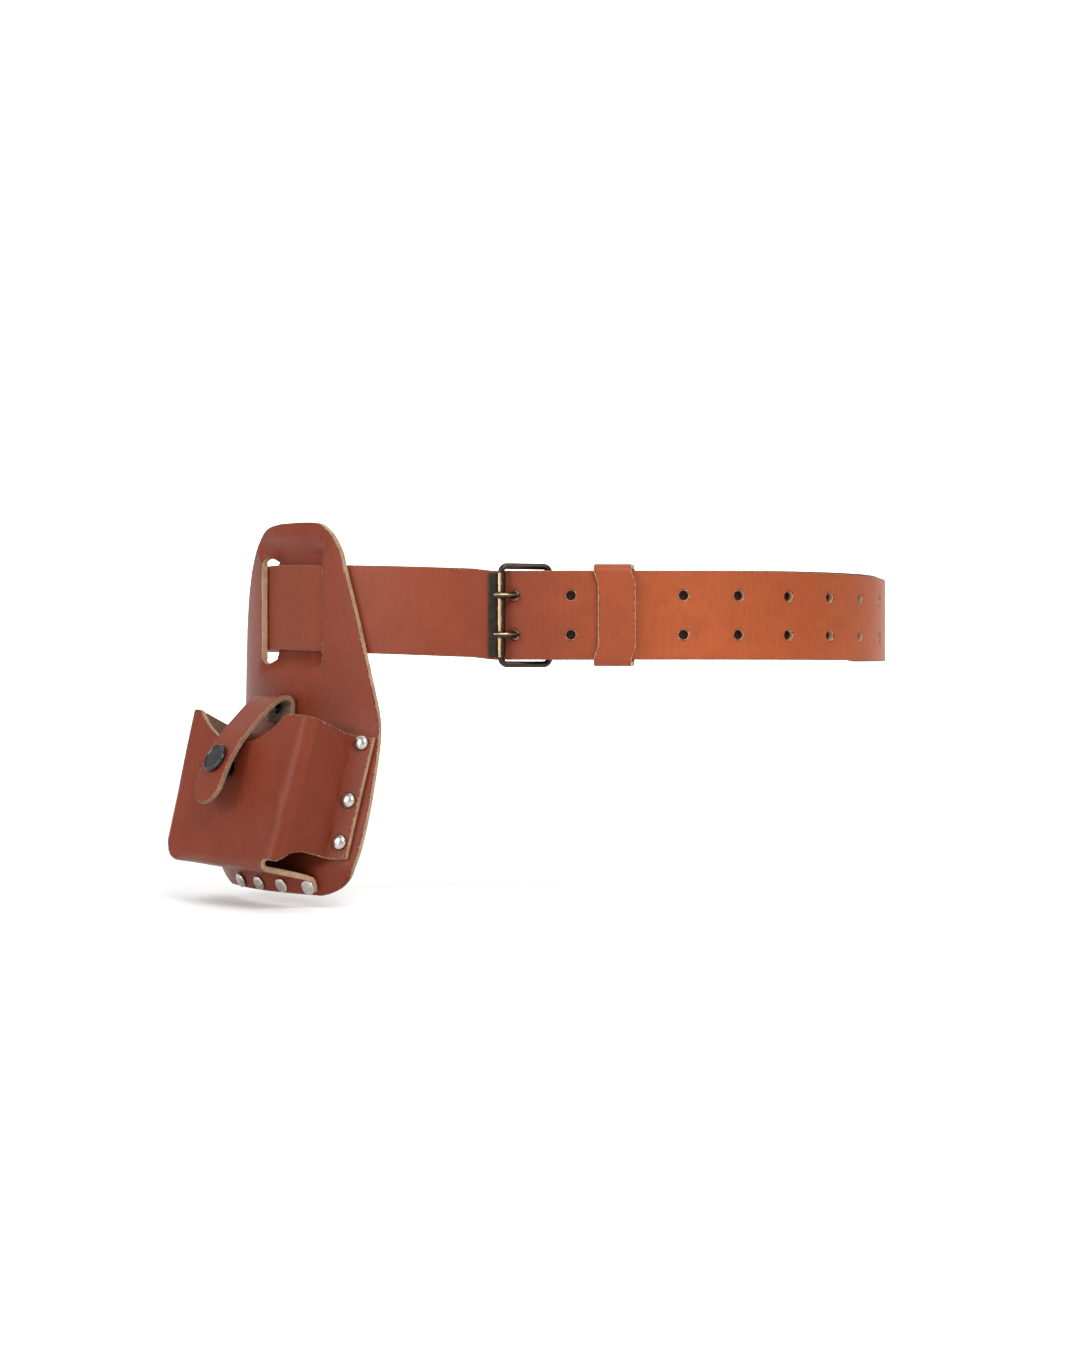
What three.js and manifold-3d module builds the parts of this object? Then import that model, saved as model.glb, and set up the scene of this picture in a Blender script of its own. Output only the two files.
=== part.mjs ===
// Leather tool belt: a wide belt in a closed loop, its double-prong roller buckle and keeper,
// and a riveted tape pouch on a back plate that is threaded onto the belt by two slots.
// Millimetres. +X is the wearer's left (the long tail of the belt), -Y the front, +Z up.
// The origin is the centre of the loop at the height of the belt's front run.
import * as THREE from 'three';
import { mergeVertices } from 'three/addons/utils/BufferGeometryUtils.js';
import Module from 'manifold-3d';

const wasm = await Module();
wasm.setup();

// ---- driving dimensions ----
const CLEAR = 0.3; // gap between pieces that touch
const BELT_WIDTH = 50;
const BELT_THICK = 4;
const LAYER_PITCH = BELT_THICK + 0.4; // outer layer to inner layer of the overlap
const FRONT_HALF = 54.7; // half the straight front run
const BEND_R = 141; // middle of the leather in the wide part of each bend
const BEND_TURN = 82; // degrees of that wide part; tighter arcs lead to the flat back
const BACK_TURN = 180 - BEND_TURN;
const BACK_R = 70; // tighter arc, outer layer
const TIP_LENGTH = 64; // the tail's last stretch, on the tighter arc
const FOLD = { flat: 14, bendR: 8, turn: 30 }; // leather folded back round the rear bar and riveted
const RAMP_R = 30; // the tail rises over the fold on two arcs
const RAMP_TURN = 15;
const HOLE_ROWS = 9;
const HOLE_PITCH = 31.5;
const HOLE_PAIR = 22;
const HOLE_R = 2.75;

const BUCKLE_X = -12; // rear bar, where the prongs pivot
const BAR_R = 1.8; // across the flats of the bars
const BUCKLE_LENGTH = 28.7; // rear bar to front bar
const BUCKLE_HALF = 27.5; // middle of the side arms
const ROLLER_R = 2.8;
const ROLLER_BORE = 2.15;
const ROLLER_LIP = 7.2;
const ROLLER_LENGTH = 47;
const PRONG_R = 1.5;

const KEEPER = { x: 15, width: 21, thick: 3, room: 0.6, corner: 1.4 };

const PLATE_YAW = 48.3; // degrees round the bend from the front
const PLATE_THICK = 4;
const PLATE_TOP = 54.9;
const PLATE_LEGS = [[104, 0], [22, 13.8], [70, 0], [7, -33.8], [12.5, 0]]; // length, turn in degrees
const SLOT = { s: 28, width: 4.4, mid: 4.4, length: 62.5 };
const PLATE_R = BEND_R + 4.5; // the plate lies over the belt, except for the strip between its slots
// distance down the plate, and how far it reaches to the buckle's side and to the far side there
const PLATE_NEAR = [
  [0, 22], [1.5, 28], [4, 32.5], [8.5, 37.5], [17.5, 43.2], [27, 46], [54, 54], [74, 59.2], [101, 66],
  [119, 70], [140, 72], [180, 72.5], [195, 71], [203, 68], [209, 62], [213, 54], [215.5, 45],
];
const PLATE_FAR = [
  [0, 14], [1.5, 21], [4, 27.5], [8.5, 34.5], [17.5, 43.5], [27, 50], [40, 56.5], [54, 60.5], [74, 64],
  [101, 68],
  [119, 70.5], [140, 72], [180, 72.5], [195, 71], [203, 68], [209, 62], [213, 54], [215.5, 45],
];

const POUCH_THICK = 3.2;
const POUCH = { baseline: 205, wallTop: 88, sideTop: 84, middle: 4, half: 53, depth: 30.5,
  skew: 0.087, corner: 8, taper: 9, flangeTaper: 2.5, creaseS: 56.5, flangeS: 69 };
const TAB = { middle: 12, half: 36, length: 13 };
const NOTCH = { middle: -2, half: 38, deep: 18 };
// lower edge of the pouch's side walls
const SIDE_LOW = [[-14, 15], [-7.5, 13], [2, 13.5], [10, 14], [17, 12], [23, 4], [26, 0]];
const SIDE_RIVETS = [[62.5, 128], [61.5, 161], [61, 184.8]]; // across and down the plate
const TAB_RIVET_PITCH = 19.5;
const TAB_RIVET_W = 208.4;
const FLUSH = 1.4; // the fold rivets' burrs are let into the leather
const RIVET = { head: 4.4, dome: 2.1, post: 1.5, burr: 3.6, burrThick: 0.9 };

const STRAP = { width: 25, thick: 3.2, root: 17, middle: -2.5 };
const SNAP = { z: -82, cap: 8.6, capThick: 2.4, socket: 5.5, cavity: 3.7, socketThick: 2.4, web: 0.8, stud: 5,
  nub: 2.1, nubHigh: 1.4, post: 1.8, pin: 1.2 };

// ---- small helpers ----
const rad = THREE.MathUtils.degToRad;
const clamp = THREE.MathUtils.clamp;
const smooth = (x) => THREE.MathUtils.smoothstep(x, 0, 1);
const lerp = THREE.MathUtils.lerp;
const UP = new THREE.Vector3(0, 0, 1);
const BACKWARD = new THREE.Vector3(0, 1, 0);

const group = new THREE.Group();

function material(color, roughness, metalness = 0) {
  return new THREE.MeshStandardMaterial({ color, roughness, metalness });
}

const LOOK = {
  beltLeather: () => material(0xb4532f, 0.55),
  pouchLeather: () => material(0x80392b, 0.5),
  bronze: () => material(0x4a4030, 0.4, 0.9),
  nickel: () => material(0xc9c7c2, 0.25, 1),
  blackEnamel: () => material(0x0c0c0d, 0.18, 0.2),
};

function add(name, geometry, look) {
  const mesh = new THREE.Mesh(geometry, look());
  mesh.name = name;
  group.add(mesh);
  return mesh;
}

// Straight and curved legs, each [length, turn in degrees], walked from a start point.
function walk(x, y, heading, legs) {
  return (distance) => {
    let at = { x, y, heading: rad(heading) };
    let left = distance;
    legs.forEach(([length, turn], i) => {
      if (left <= 0 && i > 0) return;
      const last = i === legs.length - 1;
      const go = last ? left : Math.min(left, length);
      const bend = (rad(turn) * go) / length;
      const chord = Math.abs(bend) < 1e-9 ? go : (2 * go * Math.sin(bend / 2)) / bend;
      const along = at.heading + bend / 2;
      at = {
        x: at.x + chord * Math.cos(along), y: at.y + chord * Math.sin(along), heading: at.heading + bend,
      };
      left -= go;
    });
    return at;
  };
}

function through(table, value) {
  const i = clamp(table.findIndex(([x]) => x > value), 1, table.length - 1);
  const upper = value >= table.at(-1)[0] ? table.length - 1 : i;
  const [x0, y0] = table[upper - 1];
  const [x1, y1] = table[upper];
  return lerp(y0, y1, clamp((value - x0) / (x1 - x0), 0, 1));
}

function positionsOnly(geometry) {
  geometry.deleteAttribute('normal');
  geometry.deleteAttribute('uv');
  return mergeVertices(geometry, 1e-4);
}

function volume(geometry) {
  const p = geometry.attributes.position;
  const index = geometry.index.array;
  const [a, b, c] = [new THREE.Vector3(), new THREE.Vector3(), new THREE.Vector3()];
  let sum = 0;
  for (let i = 0; i < index.length; i += 3) {
    a.fromBufferAttribute(p, index[i]);
    b.fromBufferAttribute(p, index[i + 1]);
    c.fromBufferAttribute(p, index[i + 2]);
    sum += a.dot(b.cross(c));
  }
  return sum / 6;
}

// Moves every vertex of a flat-cut piece to its place on the bent one.
function bent(geometry, place) {
  const flat = positionsOnly(geometry);
  const p = flat.attributes.position;
  for (let i = 0; i < p.count; i += 1) {
    const to = place(p.getX(i), p.getY(i), p.getZ(i));
    p.setXYZ(i, to.x, to.y, to.z);
  }
  if (volume(flat) < 0) {
    const index = flat.index.array;
    for (let i = 0; i < index.length; i += 3) [index[i], index[i + 1]] = [index[i + 1], index[i]];
  }
  return flat;
}

function solid(geometry) {
  const whole = geometry.index && !geometry.attributes.normal ? geometry : positionsOnly(geometry);
  return new wasm.Manifold(new wasm.Mesh({
    numProp: 3,
    vertProperties: new Float32Array(whole.attributes.position.array),
    triVerts: new Uint32Array(whole.index.array),
  }));
}

function fromSolid(body) {
  const mesh = body.getMesh();
  const geometry = new THREE.BufferGeometry();
  geometry.setAttribute('position', new THREE.BufferAttribute(new Float32Array(mesh.vertProperties), 3));
  geometry.setIndex(new THREE.BufferAttribute(new Uint32Array(mesh.triVerts), 1));
  return geometry;
}

function cut(geometry, cutters) {
  return fromSolid(cutters.reduce((body, cutter) => body.subtract(solid(cutter)), solid(geometry)));
}

function joined(pieces) {
  return fromSolid(pieces.slice(1).reduce((body, piece) => body.add(solid(piece)), solid(pieces[0])));
}

// Stands a piece that is built along +Y on a point, with +Y along the given direction.
function standing(geometry, point, direction) {
  const turn = new THREE.Quaternion().setFromUnitVectors(new THREE.Vector3(0, 1, 0), direction);
  return positionsOnly(geometry).applyQuaternion(turn).translate(point.x, point.y, point.z);
}

function drill(point, direction, radius, length = 30, sides = 12) {
  return standing(new THREE.CylinderGeometry(radius, radius, length, sides), point, direction);
}

function outlined(points) {
  return new THREE.Shape(points.map(([x, y]) => new THREE.Vector2(x, y)));
}

// A strip's closed outline, from the line along its middle.
function thickened(line, thick) {
  const side = (k) => line.map((p, i) => {
    const before = line[Math.max(i - 1, 0)];
    const after = line[Math.min(i + 1, line.length - 1)];
    const along = new THREE.Vector2(after.x - before.x, after.y - before.y).normalize();
    return [p.x - (k * along.y * thick) / 2, p.y + (k * along.x * thick) / 2];
  });
  return outlined([...side(1), ...side(-1).reverse()]);
}

// ---- the belt: one strap, from the fold at the buckle round the loop to its tail ----
const OUTER_Y = -BEND_R;
const INNER_Y = OUTER_Y + LAYER_PITCH;
const INNER_R = BEND_R - LAYER_PITCH;
const INNER_BACK_R = BACK_R - LAYER_PITCH;
const turnCos = Math.cos(rad(BEND_TURN));
const turnSin = Math.sin(rad(BEND_TURN));
const BACK_Y = INNER_BACK_R - (INNER_R - INNER_BACK_R) * turnCos;
const LEFT_CENTRE = new THREE.Vector3(-FRONT_HALF, INNER_Y + BEND_R, 0);
const LEFT_BACK_R = (BACK_Y - LEFT_CENTRE.y + BEND_R * turnCos) / (1 + turnCos);
const BACK_RIGHT = FRONT_HALF + (INNER_R - INNER_BACK_R) * turnSin;
const BACK_LEFT = FRONT_HALF + (BEND_R - LEFT_BACK_R) * turnSin;
const BAR_WRAP = BAR_R + 0.5 + BELT_THICK / 2;
const BAR_Y = INNER_Y + BAR_WRAP;
const RAMP_RISE = LAYER_PITCH - 2 * RAMP_R * (1 - Math.cos(rad(RAMP_TURN)));
const RAMP_STRAIGHT = RAMP_RISE / Math.sin(rad(RAMP_TURN));
const RAMP_RUN = 2 * RAMP_R * Math.sin(rad(RAMP_TURN)) + RAMP_STRAIGHT * Math.cos(rad(RAMP_TURN));
const RAMP_END = -16;
const arc = (radius, turn) => [radius * rad(Math.abs(turn)), turn];

const FOLD_RISE = BAR_WRAP * (1 + Math.cos(rad(FOLD.turn))) - LAYER_PITCH;
const FOLD_SLOPE = (FOLD_RISE - FOLD.bendR * (1 - Math.cos(rad(FOLD.turn)))) / Math.sin(rad(FOLD.turn));
const FOLD_X = BUCKLE_X + (BAR_WRAP + FOLD.bendR) * Math.sin(rad(FOLD.turn))
  + FOLD_SLOPE * Math.cos(rad(FOLD.turn));

const BELT_LEGS = {
  flap: [FOLD.flat, 0],
  flapBend: arc(FOLD.bendR, -FOLD.turn),
  flapSlope: [FOLD_SLOPE, 0],
  barWrap: arc(BAR_WRAP, 180 + FOLD.turn),
  innerFront: [FRONT_HALF - BUCKLE_X, 0],
  rightBend: arc(INNER_R, BEND_TURN),
  rightBack: arc(INNER_BACK_R, BACK_TURN),
  back: [BACK_RIGHT + BACK_LEFT, 0],
  leftBack: arc(LEFT_BACK_R, BACK_TURN),
  leftBend: arc(BEND_R, BEND_TURN),
  leftFront: [FRONT_HALF + RAMP_END - RAMP_RUN, 0],
  rampIn: arc(RAMP_R, -RAMP_TURN),
  ramp: [RAMP_STRAIGHT, 0],
  rampOut: arc(RAMP_R, RAMP_TURN),
  outerFront: [FRONT_HALF - RAMP_END, 0],
  outerBend: arc(BEND_R, BEND_TURN),
  tip: [TIP_LENGTH, TIP_LENGTH / BACK_R / rad(1)],
};
const beltLine = walk(FOLD_X + FOLD.flat, INNER_Y + LAYER_PITCH, 180, Object.values(BELT_LEGS));
const legStart = {};
let BELT_LENGTH = 0;
for (const [name, [length]] of Object.entries(BELT_LEGS)) {
  legStart[name] = BELT_LENGTH;
  BELT_LENGTH += length;
}
const HOLE_START = legStart.outerFront - RAMP_END - HOLE_PITCH;

// The strap climbs a few millimetres as it goes round behind, and comes back level at the buckle.
const CLIMB = [
  [legStart.innerFront, 0], [legStart.rightBend, 0.1], [legStart.rightBack, 2], [legStart.back, 3.5],
  [legStart.leftBack, 5.5], [legStart.leftBend, 6.4], [legStart.leftBend + 70, 6.4],
  [legStart.leftFront, 1.4], [legStart.rampIn - 3, 0],
];

function onBelt(distance, height, off) {
  const at = beltLine(distance);
  const x = at.x + off * Math.sin(at.heading);
  const y = at.y - off * Math.cos(at.heading);
  return new THREE.Vector3(x, y, height + through(CLIMB, distance));
}

function beltNormal(distance) {
  const { heading } = beltLine(distance);
  return new THREE.Vector3(Math.sin(heading), -Math.cos(heading), 0);
}

const PRONG_Z = [HOLE_PAIR / 2, -HOLE_PAIR / 2];
const FOLD_RIVETS = PRONG_Z.map((z) => ({ z, x: FOLD_X + FOLD.flat / 2 }));

function beltStrap() {
  const steps = [];
  for (const [name, [length, turn]] of Object.entries(BELT_LEGS)) {
    const count = Math.max(1, Math.ceil(Math.abs(turn) / (length < 30 ? 18 : 5)), Math.ceil(length / 45));
    for (let i = 0; i < count; i += 1) steps.push(legStart[name] + (length * i) / count);
  }
  steps.push(BELT_LENGTH);
  const tipRound = (distance) => {
    const before = clamp(1 - (BELT_LENGTH - distance) / 16, 0, 1);
    return 1 - 0.45 * (1 - Math.sqrt(1 - before * before * 0.98));
  };
  const n = steps.length - 1;
  const strip = new THREE.BoxGeometry(n, 2, BELT_THICK, n, 2, 1);
  const body = bent(strip, (x, y, z) => {
    const distance = steps[Math.round(x + n / 2)];
    return onBelt(distance, (y * BELT_WIDTH * tipRound(distance)) / 2, z);
  });
  const cutters = [];
  for (let row = 0; row < HOLE_ROWS; row += 1) {
    const distance = HOLE_START + row * HOLE_PITCH;
    for (const z of PRONG_Z) cutters.push(drill(onBelt(distance, z, 0), beltNormal(distance), HOLE_R, 5));
  }
  for (const { x, z } of FOLD_RIVETS) {
    const front = INNER_Y - BELT_THICK / 2;
    const middle = new THREE.Vector3(x, INNER_Y + LAYER_PITCH / 2, z);
    const sunk = new THREE.Vector3(x, front + FLUSH / 2 - 0.1, z);
    cutters.push(drill(middle, BACKWARD, RIVET.post + CLEAR, LAYER_PITCH + BELT_THICK + 0.2));
    cutters.push(drill(sunk, BACKWARD, RIVET.burr + CLEAR, FLUSH + 0.2));
  }
  for (const z of PRONG_Z) {
    const slot = new THREE.BoxGeometry(16, 2 * BAR_WRAP + 3.4, 2 * PRONG_R + 1.2);
    cutters.push(slot.translate(BUCKLE_X - 1, BAR_Y + 0.3, z));
  }
  return cut(body, cutters);
}

// ---- buckle: frame, roller on its front bar, two prongs on its rear bar ----
const FRONT_BAR_Y = INNER_Y - BELT_THICK / 2 - CLEAR - ROLLER_R;
const BUCKLE_TILT = Math.asin((BAR_Y - FRONT_BAR_Y) / BUCKLE_LENGTH);
const FRONT_BAR = new THREE.Vector3(BUCKLE_X - BUCKLE_LENGTH * Math.cos(BUCKLE_TILT), FRONT_BAR_Y, 0);

function roundedRect(x0, y0, x1, y1, radii) {
  const [a, b, c, d] = radii; // corners (x0, y0), (x1, y0), (x1, y1), (x0, y1)
  const path = new THREE.Shape();
  path.moveTo(x0 + a, y0);
  path.lineTo(x1 - b, y0).absarc(x1 - b, y0 + b, b, -Math.PI / 2, 0);
  path.lineTo(x1, y1 - c).absarc(x1 - c, y1 - c, c, 0, Math.PI / 2);
  path.lineTo(x0 + d, y1).absarc(x0 + d, y1 - d, d, Math.PI / 2, Math.PI);
  path.lineTo(x0, y0 + a).absarc(x0 + a, y0 + a, a, Math.PI, 1.5 * Math.PI);
  return path;
}

function buckleFrame() {
  const flat = 2 * BAR_R - 2.1; // the flat left between the chamfers
  const chamfer = (2 * BAR_R - flat) / 2;
  const [near, far, half] = [-BUCKLE_LENGTH, 0, BUCKLE_HALF];
  const ring = (grow) => {
    const [front, rear] = [3.6 + grow, 3.6 + grow];
    return roundedRect(near - grow, -half - grow, far + grow, half + grow, [front, rear, rear, front]);
  };
  const shape = ring(BAR_R - chamfer);
  shape.holes.push(ring(-BAR_R + chamfer));
  const geometry = new THREE.ExtrudeGeometry(shape, {
    depth: flat, bevelEnabled: true, bevelThickness: chamfer, bevelSize: chamfer, bevelSegments: 1,
    curveSegments: 5,
  });
  geometry.translate(0, 0, -flat / 2);
  geometry.rotateX(Math.PI / 2); // the ring's y becomes z
  geometry.rotateZ(BUCKLE_TILT);
  return positionsOnly(geometry.translate(BUCKLE_X, BAR_Y, 0));
}

function buckleRoller() {
  const shape = new THREE.Shape();
  shape.moveTo(-ROLLER_LIP, ROLLER_R - 0.1);
  shape.lineTo(0, ROLLER_R);
  shape.absarc(0, 0, ROLLER_R, Math.PI / 2, -Math.PI * 0.9, true);
  shape.lineTo(-ROLLER_LIP, ROLLER_R - 1.5);
  shape.holes.push(new THREE.Path().absarc(0, 0, ROLLER_BORE, 0, 2 * Math.PI));
  const settings = { depth: ROLLER_LENGTH, bevelEnabled: false, curveSegments: 10 };
  const geometry = new THREE.ExtrudeGeometry(shape, settings);
  geometry.translate(FRONT_BAR.x, FRONT_BAR.y, -ROLLER_LENGTH / 2);
  return positionsOnly(geometry);
}

// Each prong is a wire: a ring round the rear bar, along behind the tail, up through a hole,
// and over the front bar.
const hole0 = onBelt(HOLE_START, 0, 0);
const hole0Normal = beltNormal(HOLE_START);

function prong(z) {
  const throughHole = (k) => [hole0.x + hole0Normal.x * k, hole0.y + hole0Normal.y * k];
  const overBar = FRONT_BAR.y - ROLLER_R - CLEAR - PRONG_R;
  const route = [
    [BUCKLE_X - 3.2, BAR_Y - 0.2], [BUCKLE_X - 9, BAR_Y - 0.3], [BUCKLE_X - 14, BAR_Y - 0.5],
    throughHole(-3.2), throughHole(0), throughHole(3.6),
    [FRONT_BAR.x + 3.8, overBar + 0.5], [FRONT_BAR.x, overBar], [FRONT_BAR.x - 3.4, overBar + 0.1],
  ].map(([x, y]) => new THREE.Vector3(x, y, z));
  const wire = new THREE.Shape().absarc(0, 0, PRONG_R, 0, 2 * Math.PI);
  const tube = new THREE.ExtrudeGeometry(wire, {
    steps: 26, curveSegments: 5, extrudePath: new THREE.CatmullRomCurve3(route, false, 'centripetal'),
  });
  const ringShape = new THREE.Shape().absarc(0, 0, ROLLER_BORE + 1.5, 0, 2 * Math.PI);
  ringShape.holes.push(new THREE.Path().absarc(0, 0, ROLLER_BORE, 0, 2 * Math.PI));
  const ringSettings = { depth: 2 * PRONG_R, bevelEnabled: false, curveSegments: 8 };
  const ring = new THREE.ExtrudeGeometry(ringShape, ringSettings);
  ring.translate(BUCKLE_X, BAR_Y, z - PRONG_R);
  return joined([tube, ring]);
}

// ---- keeper: a leather band round both layers ----
function keeperLoop() {
  const { x, width, thick, room, corner } = KEEPER;
  const [front, back] = [OUTER_Y - BELT_THICK / 2 - room, INNER_Y + BELT_THICK / 2 + room + 0.1];
  const half = BELT_WIDTH / 2 + room;
  const band = (grow) => roundedRect(
    front - grow, -half - grow, back + grow, half + grow, Array(4).fill(corner + grow),
  );
  const shape = band(thick);
  shape.holes.push(band(0));
  const geometry = new THREE.ExtrudeGeometry(shape, { depth: width, bevelEnabled: false, curveSegments: 4 });
  // shape x -> Y, shape y -> Z, depth -> X
  return bent(geometry, (a, b, c) => new THREE.Vector3(x + c, a, b));
}

// ---- rivets ----
function rivetHead({ head, dome, post }, reach) {
  const profile = [[0, -reach], [post, -reach], [post, 0], [head, 0], [head, 0.5]];
  for (const share of [0.35, 0.65, 0.88]) {
    const angle = (share * Math.PI) / 2;
    profile.push([head * Math.cos(angle), 0.5 + (dome - 0.5) * Math.sin(angle)]);
  }
  profile.push([0, dome]);
  return new THREE.LatheGeometry(profile.map(([r, y]) => new THREE.Vector2(r, y)), 14);
}

function rivetBurr({ burr, burrThick, post }) {
  const inner = post + 0.15;
  const profile = [[inner, 0], [burr, 0], [burr - 0.4, burrThick], [inner, burrThick], [inner, 0]];
  return new THREE.LatheGeometry(profile.map(([r, y]) => new THREE.Vector2(r, y)), 14);
}

// A rivet whose head rests on the point, reaching back through `stack` of leather to its burr.
function rivet(name, point, outward, stack, look = LOOK.nickel, size = RIVET) {
  const seat = point.clone().addScaledVector(outward, CLEAR);
  const back = point.clone().addScaledVector(outward, -stack - CLEAR);
  add(name, standing(rivetHead(size, stack + 2 * CLEAR + size.burrThick), seat, outward), look);
  const inward = outward.clone().negate();
  add(`${name}_burr`, standing(rivetBurr(size), back, inward), look);
}

// ---- back plate: wraps the bend, hangs clear of the belt's line, and leans out below ----
const profileLine = walk(0, 0, 0, PLATE_LEGS); // x down the plate, y outwards
const yawOut = (degrees) => new THREE.Vector3(-Math.sin(rad(degrees)), -Math.cos(rad(degrees)), 0);
const PLATE_OUT = yawOut(PLATE_YAW);
const PLATE_SIDE = new THREE.Vector3(Math.cos(rad(PLATE_YAW)), -Math.sin(rad(PLATE_YAW)), 0);

// A point on the plate: s across (towards the buckle), w down from the top edge, off outwards.
function plateAt(s, w, off = 0) {
  const down = profileLine(w);
  const yaw = PLATE_YAW - s / PLATE_R / rad(1);
  const across = new THREE.Vector3(Math.cos(rad(yaw)), -Math.sin(rad(yaw)), 0);
  const fall = PLATE_OUT.clone().multiplyScalar(Math.sin(down.heading))
    .addScaledVector(UP, -Math.cos(down.heading));
  const out = fall.clone().cross(across).normalize();
  const point = LEFT_CENTRE.clone().addScaledVector(yawOut(yaw), PLATE_R).addScaledVector(PLATE_OUT, down.y);
  point.z = PLATE_TOP - down.x;
  return { point: point.addScaledVector(out, off), out };
}

const SLOT_IN = SLOT.s - SLOT.width / 2;
const SLOT_OUT = SLOT.s + SLOT.width / 2;
const BELT_AT_PLATE = 6.4; // the belt's climb where the plate hangs
const FADE = 18; // how far above and below the belt the strip takes to come back out

// The strip between the slots is pushed in behind the belt, and comes back out above and below it.
function weave(s, w) {
  const z = PLATE_TOP - w;
  const reach = Math.abs(z - BELT_AT_PLATE) - BELT_WIDTH / 2 - 1.2;
  const fade = 0.5 + 0.5 * Math.cos(Math.PI * clamp(reach / FADE, 0, 1));
  const beyond = smooth((Math.abs(z - SLOT.mid) - SLOT.length / 2 + 4) / 10);
  const spread = SLOT.width + 16 * beyond;
  const middle = 1 - smooth((Math.abs(s) - SLOT.s + spread / 2) / spread);
  return 2 * (BEND_R - PLATE_R) * middle * fade;
}

function backPlate() {
  const rows = [0, 0.7, 1.5, 2.7, 4, 6, 8.5, 12.5, 15.5, 17.5, 19, 21, 24, 28, 38, 48, 58, 68, 73, 76, 79, 81,
    83, 86, 90, 96, 102, 108, 114, 120, 130, 141, 152, 163, 174, 184, 194, 200, 204, 207, 210, 212.5, 214.3,
    215.5];
  const columns = [-1, -0.7, -0.35, 0, 0, 0, 0, 0, 0, 0, 0.35, 0.7, 1];
  const across = (column, w) => {
    const side = Math.sign(column - 6);
    const edge = through(side > 0 ? PLATE_NEAR : PLATE_FAR, w);
    const outer = Math.min(SLOT_OUT, edge * 0.7);
    const inner = outer * (SLOT_IN / SLOT_OUT);
    const place = Math.abs(column - 6);
    if (place <= 2) return (side * inner * place) / 2;
    return side * lerp(outer, edge, Math.abs(columns[column]));
  };
  const [n, m] = [columns.length - 1, rows.length - 1];
  const sheet = bent(new THREE.BoxGeometry(n, m, PLATE_THICK, n, m, 1), (x, y, z) => {
    const w = rows[Math.round(m / 2 - y)];
    const s = across(Math.round(x + n / 2), w);
    return plateAt(s, w, z + weave(s, w)).point;
  });
  const cutters = [-1, 1].map((side) => {
    const half = SLOT.width / 2;
    const reach = SLOT.length / 2;
    const shape = roundedRect(-half, -reach, half, reach, Array(4).fill(half - 0.01));
    const bar = new THREE.ExtrudeGeometry(shape, { depth: 24, bevelEnabled: false, curveSegments: 4 });
    return bent(bar, (x, y, z) => plateAt(side * SLOT.s + x, PLATE_TOP - SLOT.mid - y, z - 12).point);
  });
  for (const { s, w } of plateRivets()) {
    const { point, out } = plateAt(s, w);
    cutters.push(drill(point, out, RIVET.post + CLEAR, 12));
  }
  return cut(sheet, cutters);
}

function sideRivets() {
  return [[1, 'near'], [-1, 'far']].flatMap(([side, name]) => SIDE_RIVETS.map(
    ([s, w], i) => ({ name: `side_rivet_${name}_${i + 1}`, s: side > 0 ? s : -SIDE_RIVETS[0][0], w }),
  ));
}

function tabRivets() {
  return [0, 1, 2, 3].map((i) => (
    { name: `tab_rivet_${i + 1}`, s: TAB.middle + (i - 1.5) * TAB_RIVET_PITCH, w: TAB_RIVET_W }
  ));
}

const STRAP_RIVET = { name: 'strap_rivet', s: STRAP.middle, w: 108 };
const ROOT_W = STRAP_RIVET.w + STRAP.root / 2;
const plateRivets = () => [...sideRivets(), ...tabRivets(), STRAP_RIVET];

// ---- pouch: one cross-shaped piece, with side wings riveted flat and a bottom wing with a tab ----
const LEAN = rad(PLATE_LEGS[1][1]);
const POUCH_UP = PLATE_OUT.clone().multiplyScalar(-Math.sin(LEAN)).addScaledVector(UP, Math.cos(LEAN));
const POUCH_OUT = PLATE_OUT.clone().multiplyScalar(Math.cos(LEAN)).addScaledVector(UP, Math.sin(LEAN));
const POUCH_BASE = plateAt(0, 195).point.addScaledVector(POUCH_UP, 195 - POUCH.baseline);

// x across, d outwards from the plate's middle, h up the lean from the pouch's bottom fold. The side
// towards the buckle narrows towards the bottom.
function pouchAt(x, d, h) {
  const front = clamp(d / POUCH.depth, 0, 1);
  const low = 1 - clamp(h / POUCH.wallTop, 0, 1);
  const edge = clamp((x - POUCH.middle) / POUCH.half, 0, 1.2);
  const narrow = edge * low * lerp(POUCH.flangeTaper, POUCH.taper, front);
  const along = (1 - front) * (arcDepth(x - narrow) - arcDepth(x)); // the flange stays on the plate
  return POUCH_BASE.clone().addScaledVector(PLATE_SIDE, x - narrow)
    .addScaledVector(POUCH_OUT, (d + along) * Math.cos(LEAN)).addScaledVector(POUCH_UP, h);
}

const arcDepth = (x) => Math.sqrt(PLATE_R ** 2 - x ** 2) - PLATE_R;
const onArc = (s, off) => new THREE.Vector2((PLATE_R + off) * Math.sin(s / PLATE_R),
  (PLATE_R + off) * Math.cos(s / PLATE_R) - PLATE_R);
const FLANGE_OFF = (PLATE_THICK + POUCH_THICK) / 2 + CLEAR;
const wallDepth = (x) => POUCH.depth - POUCH.skew * (x - POUCH.middle);

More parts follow.
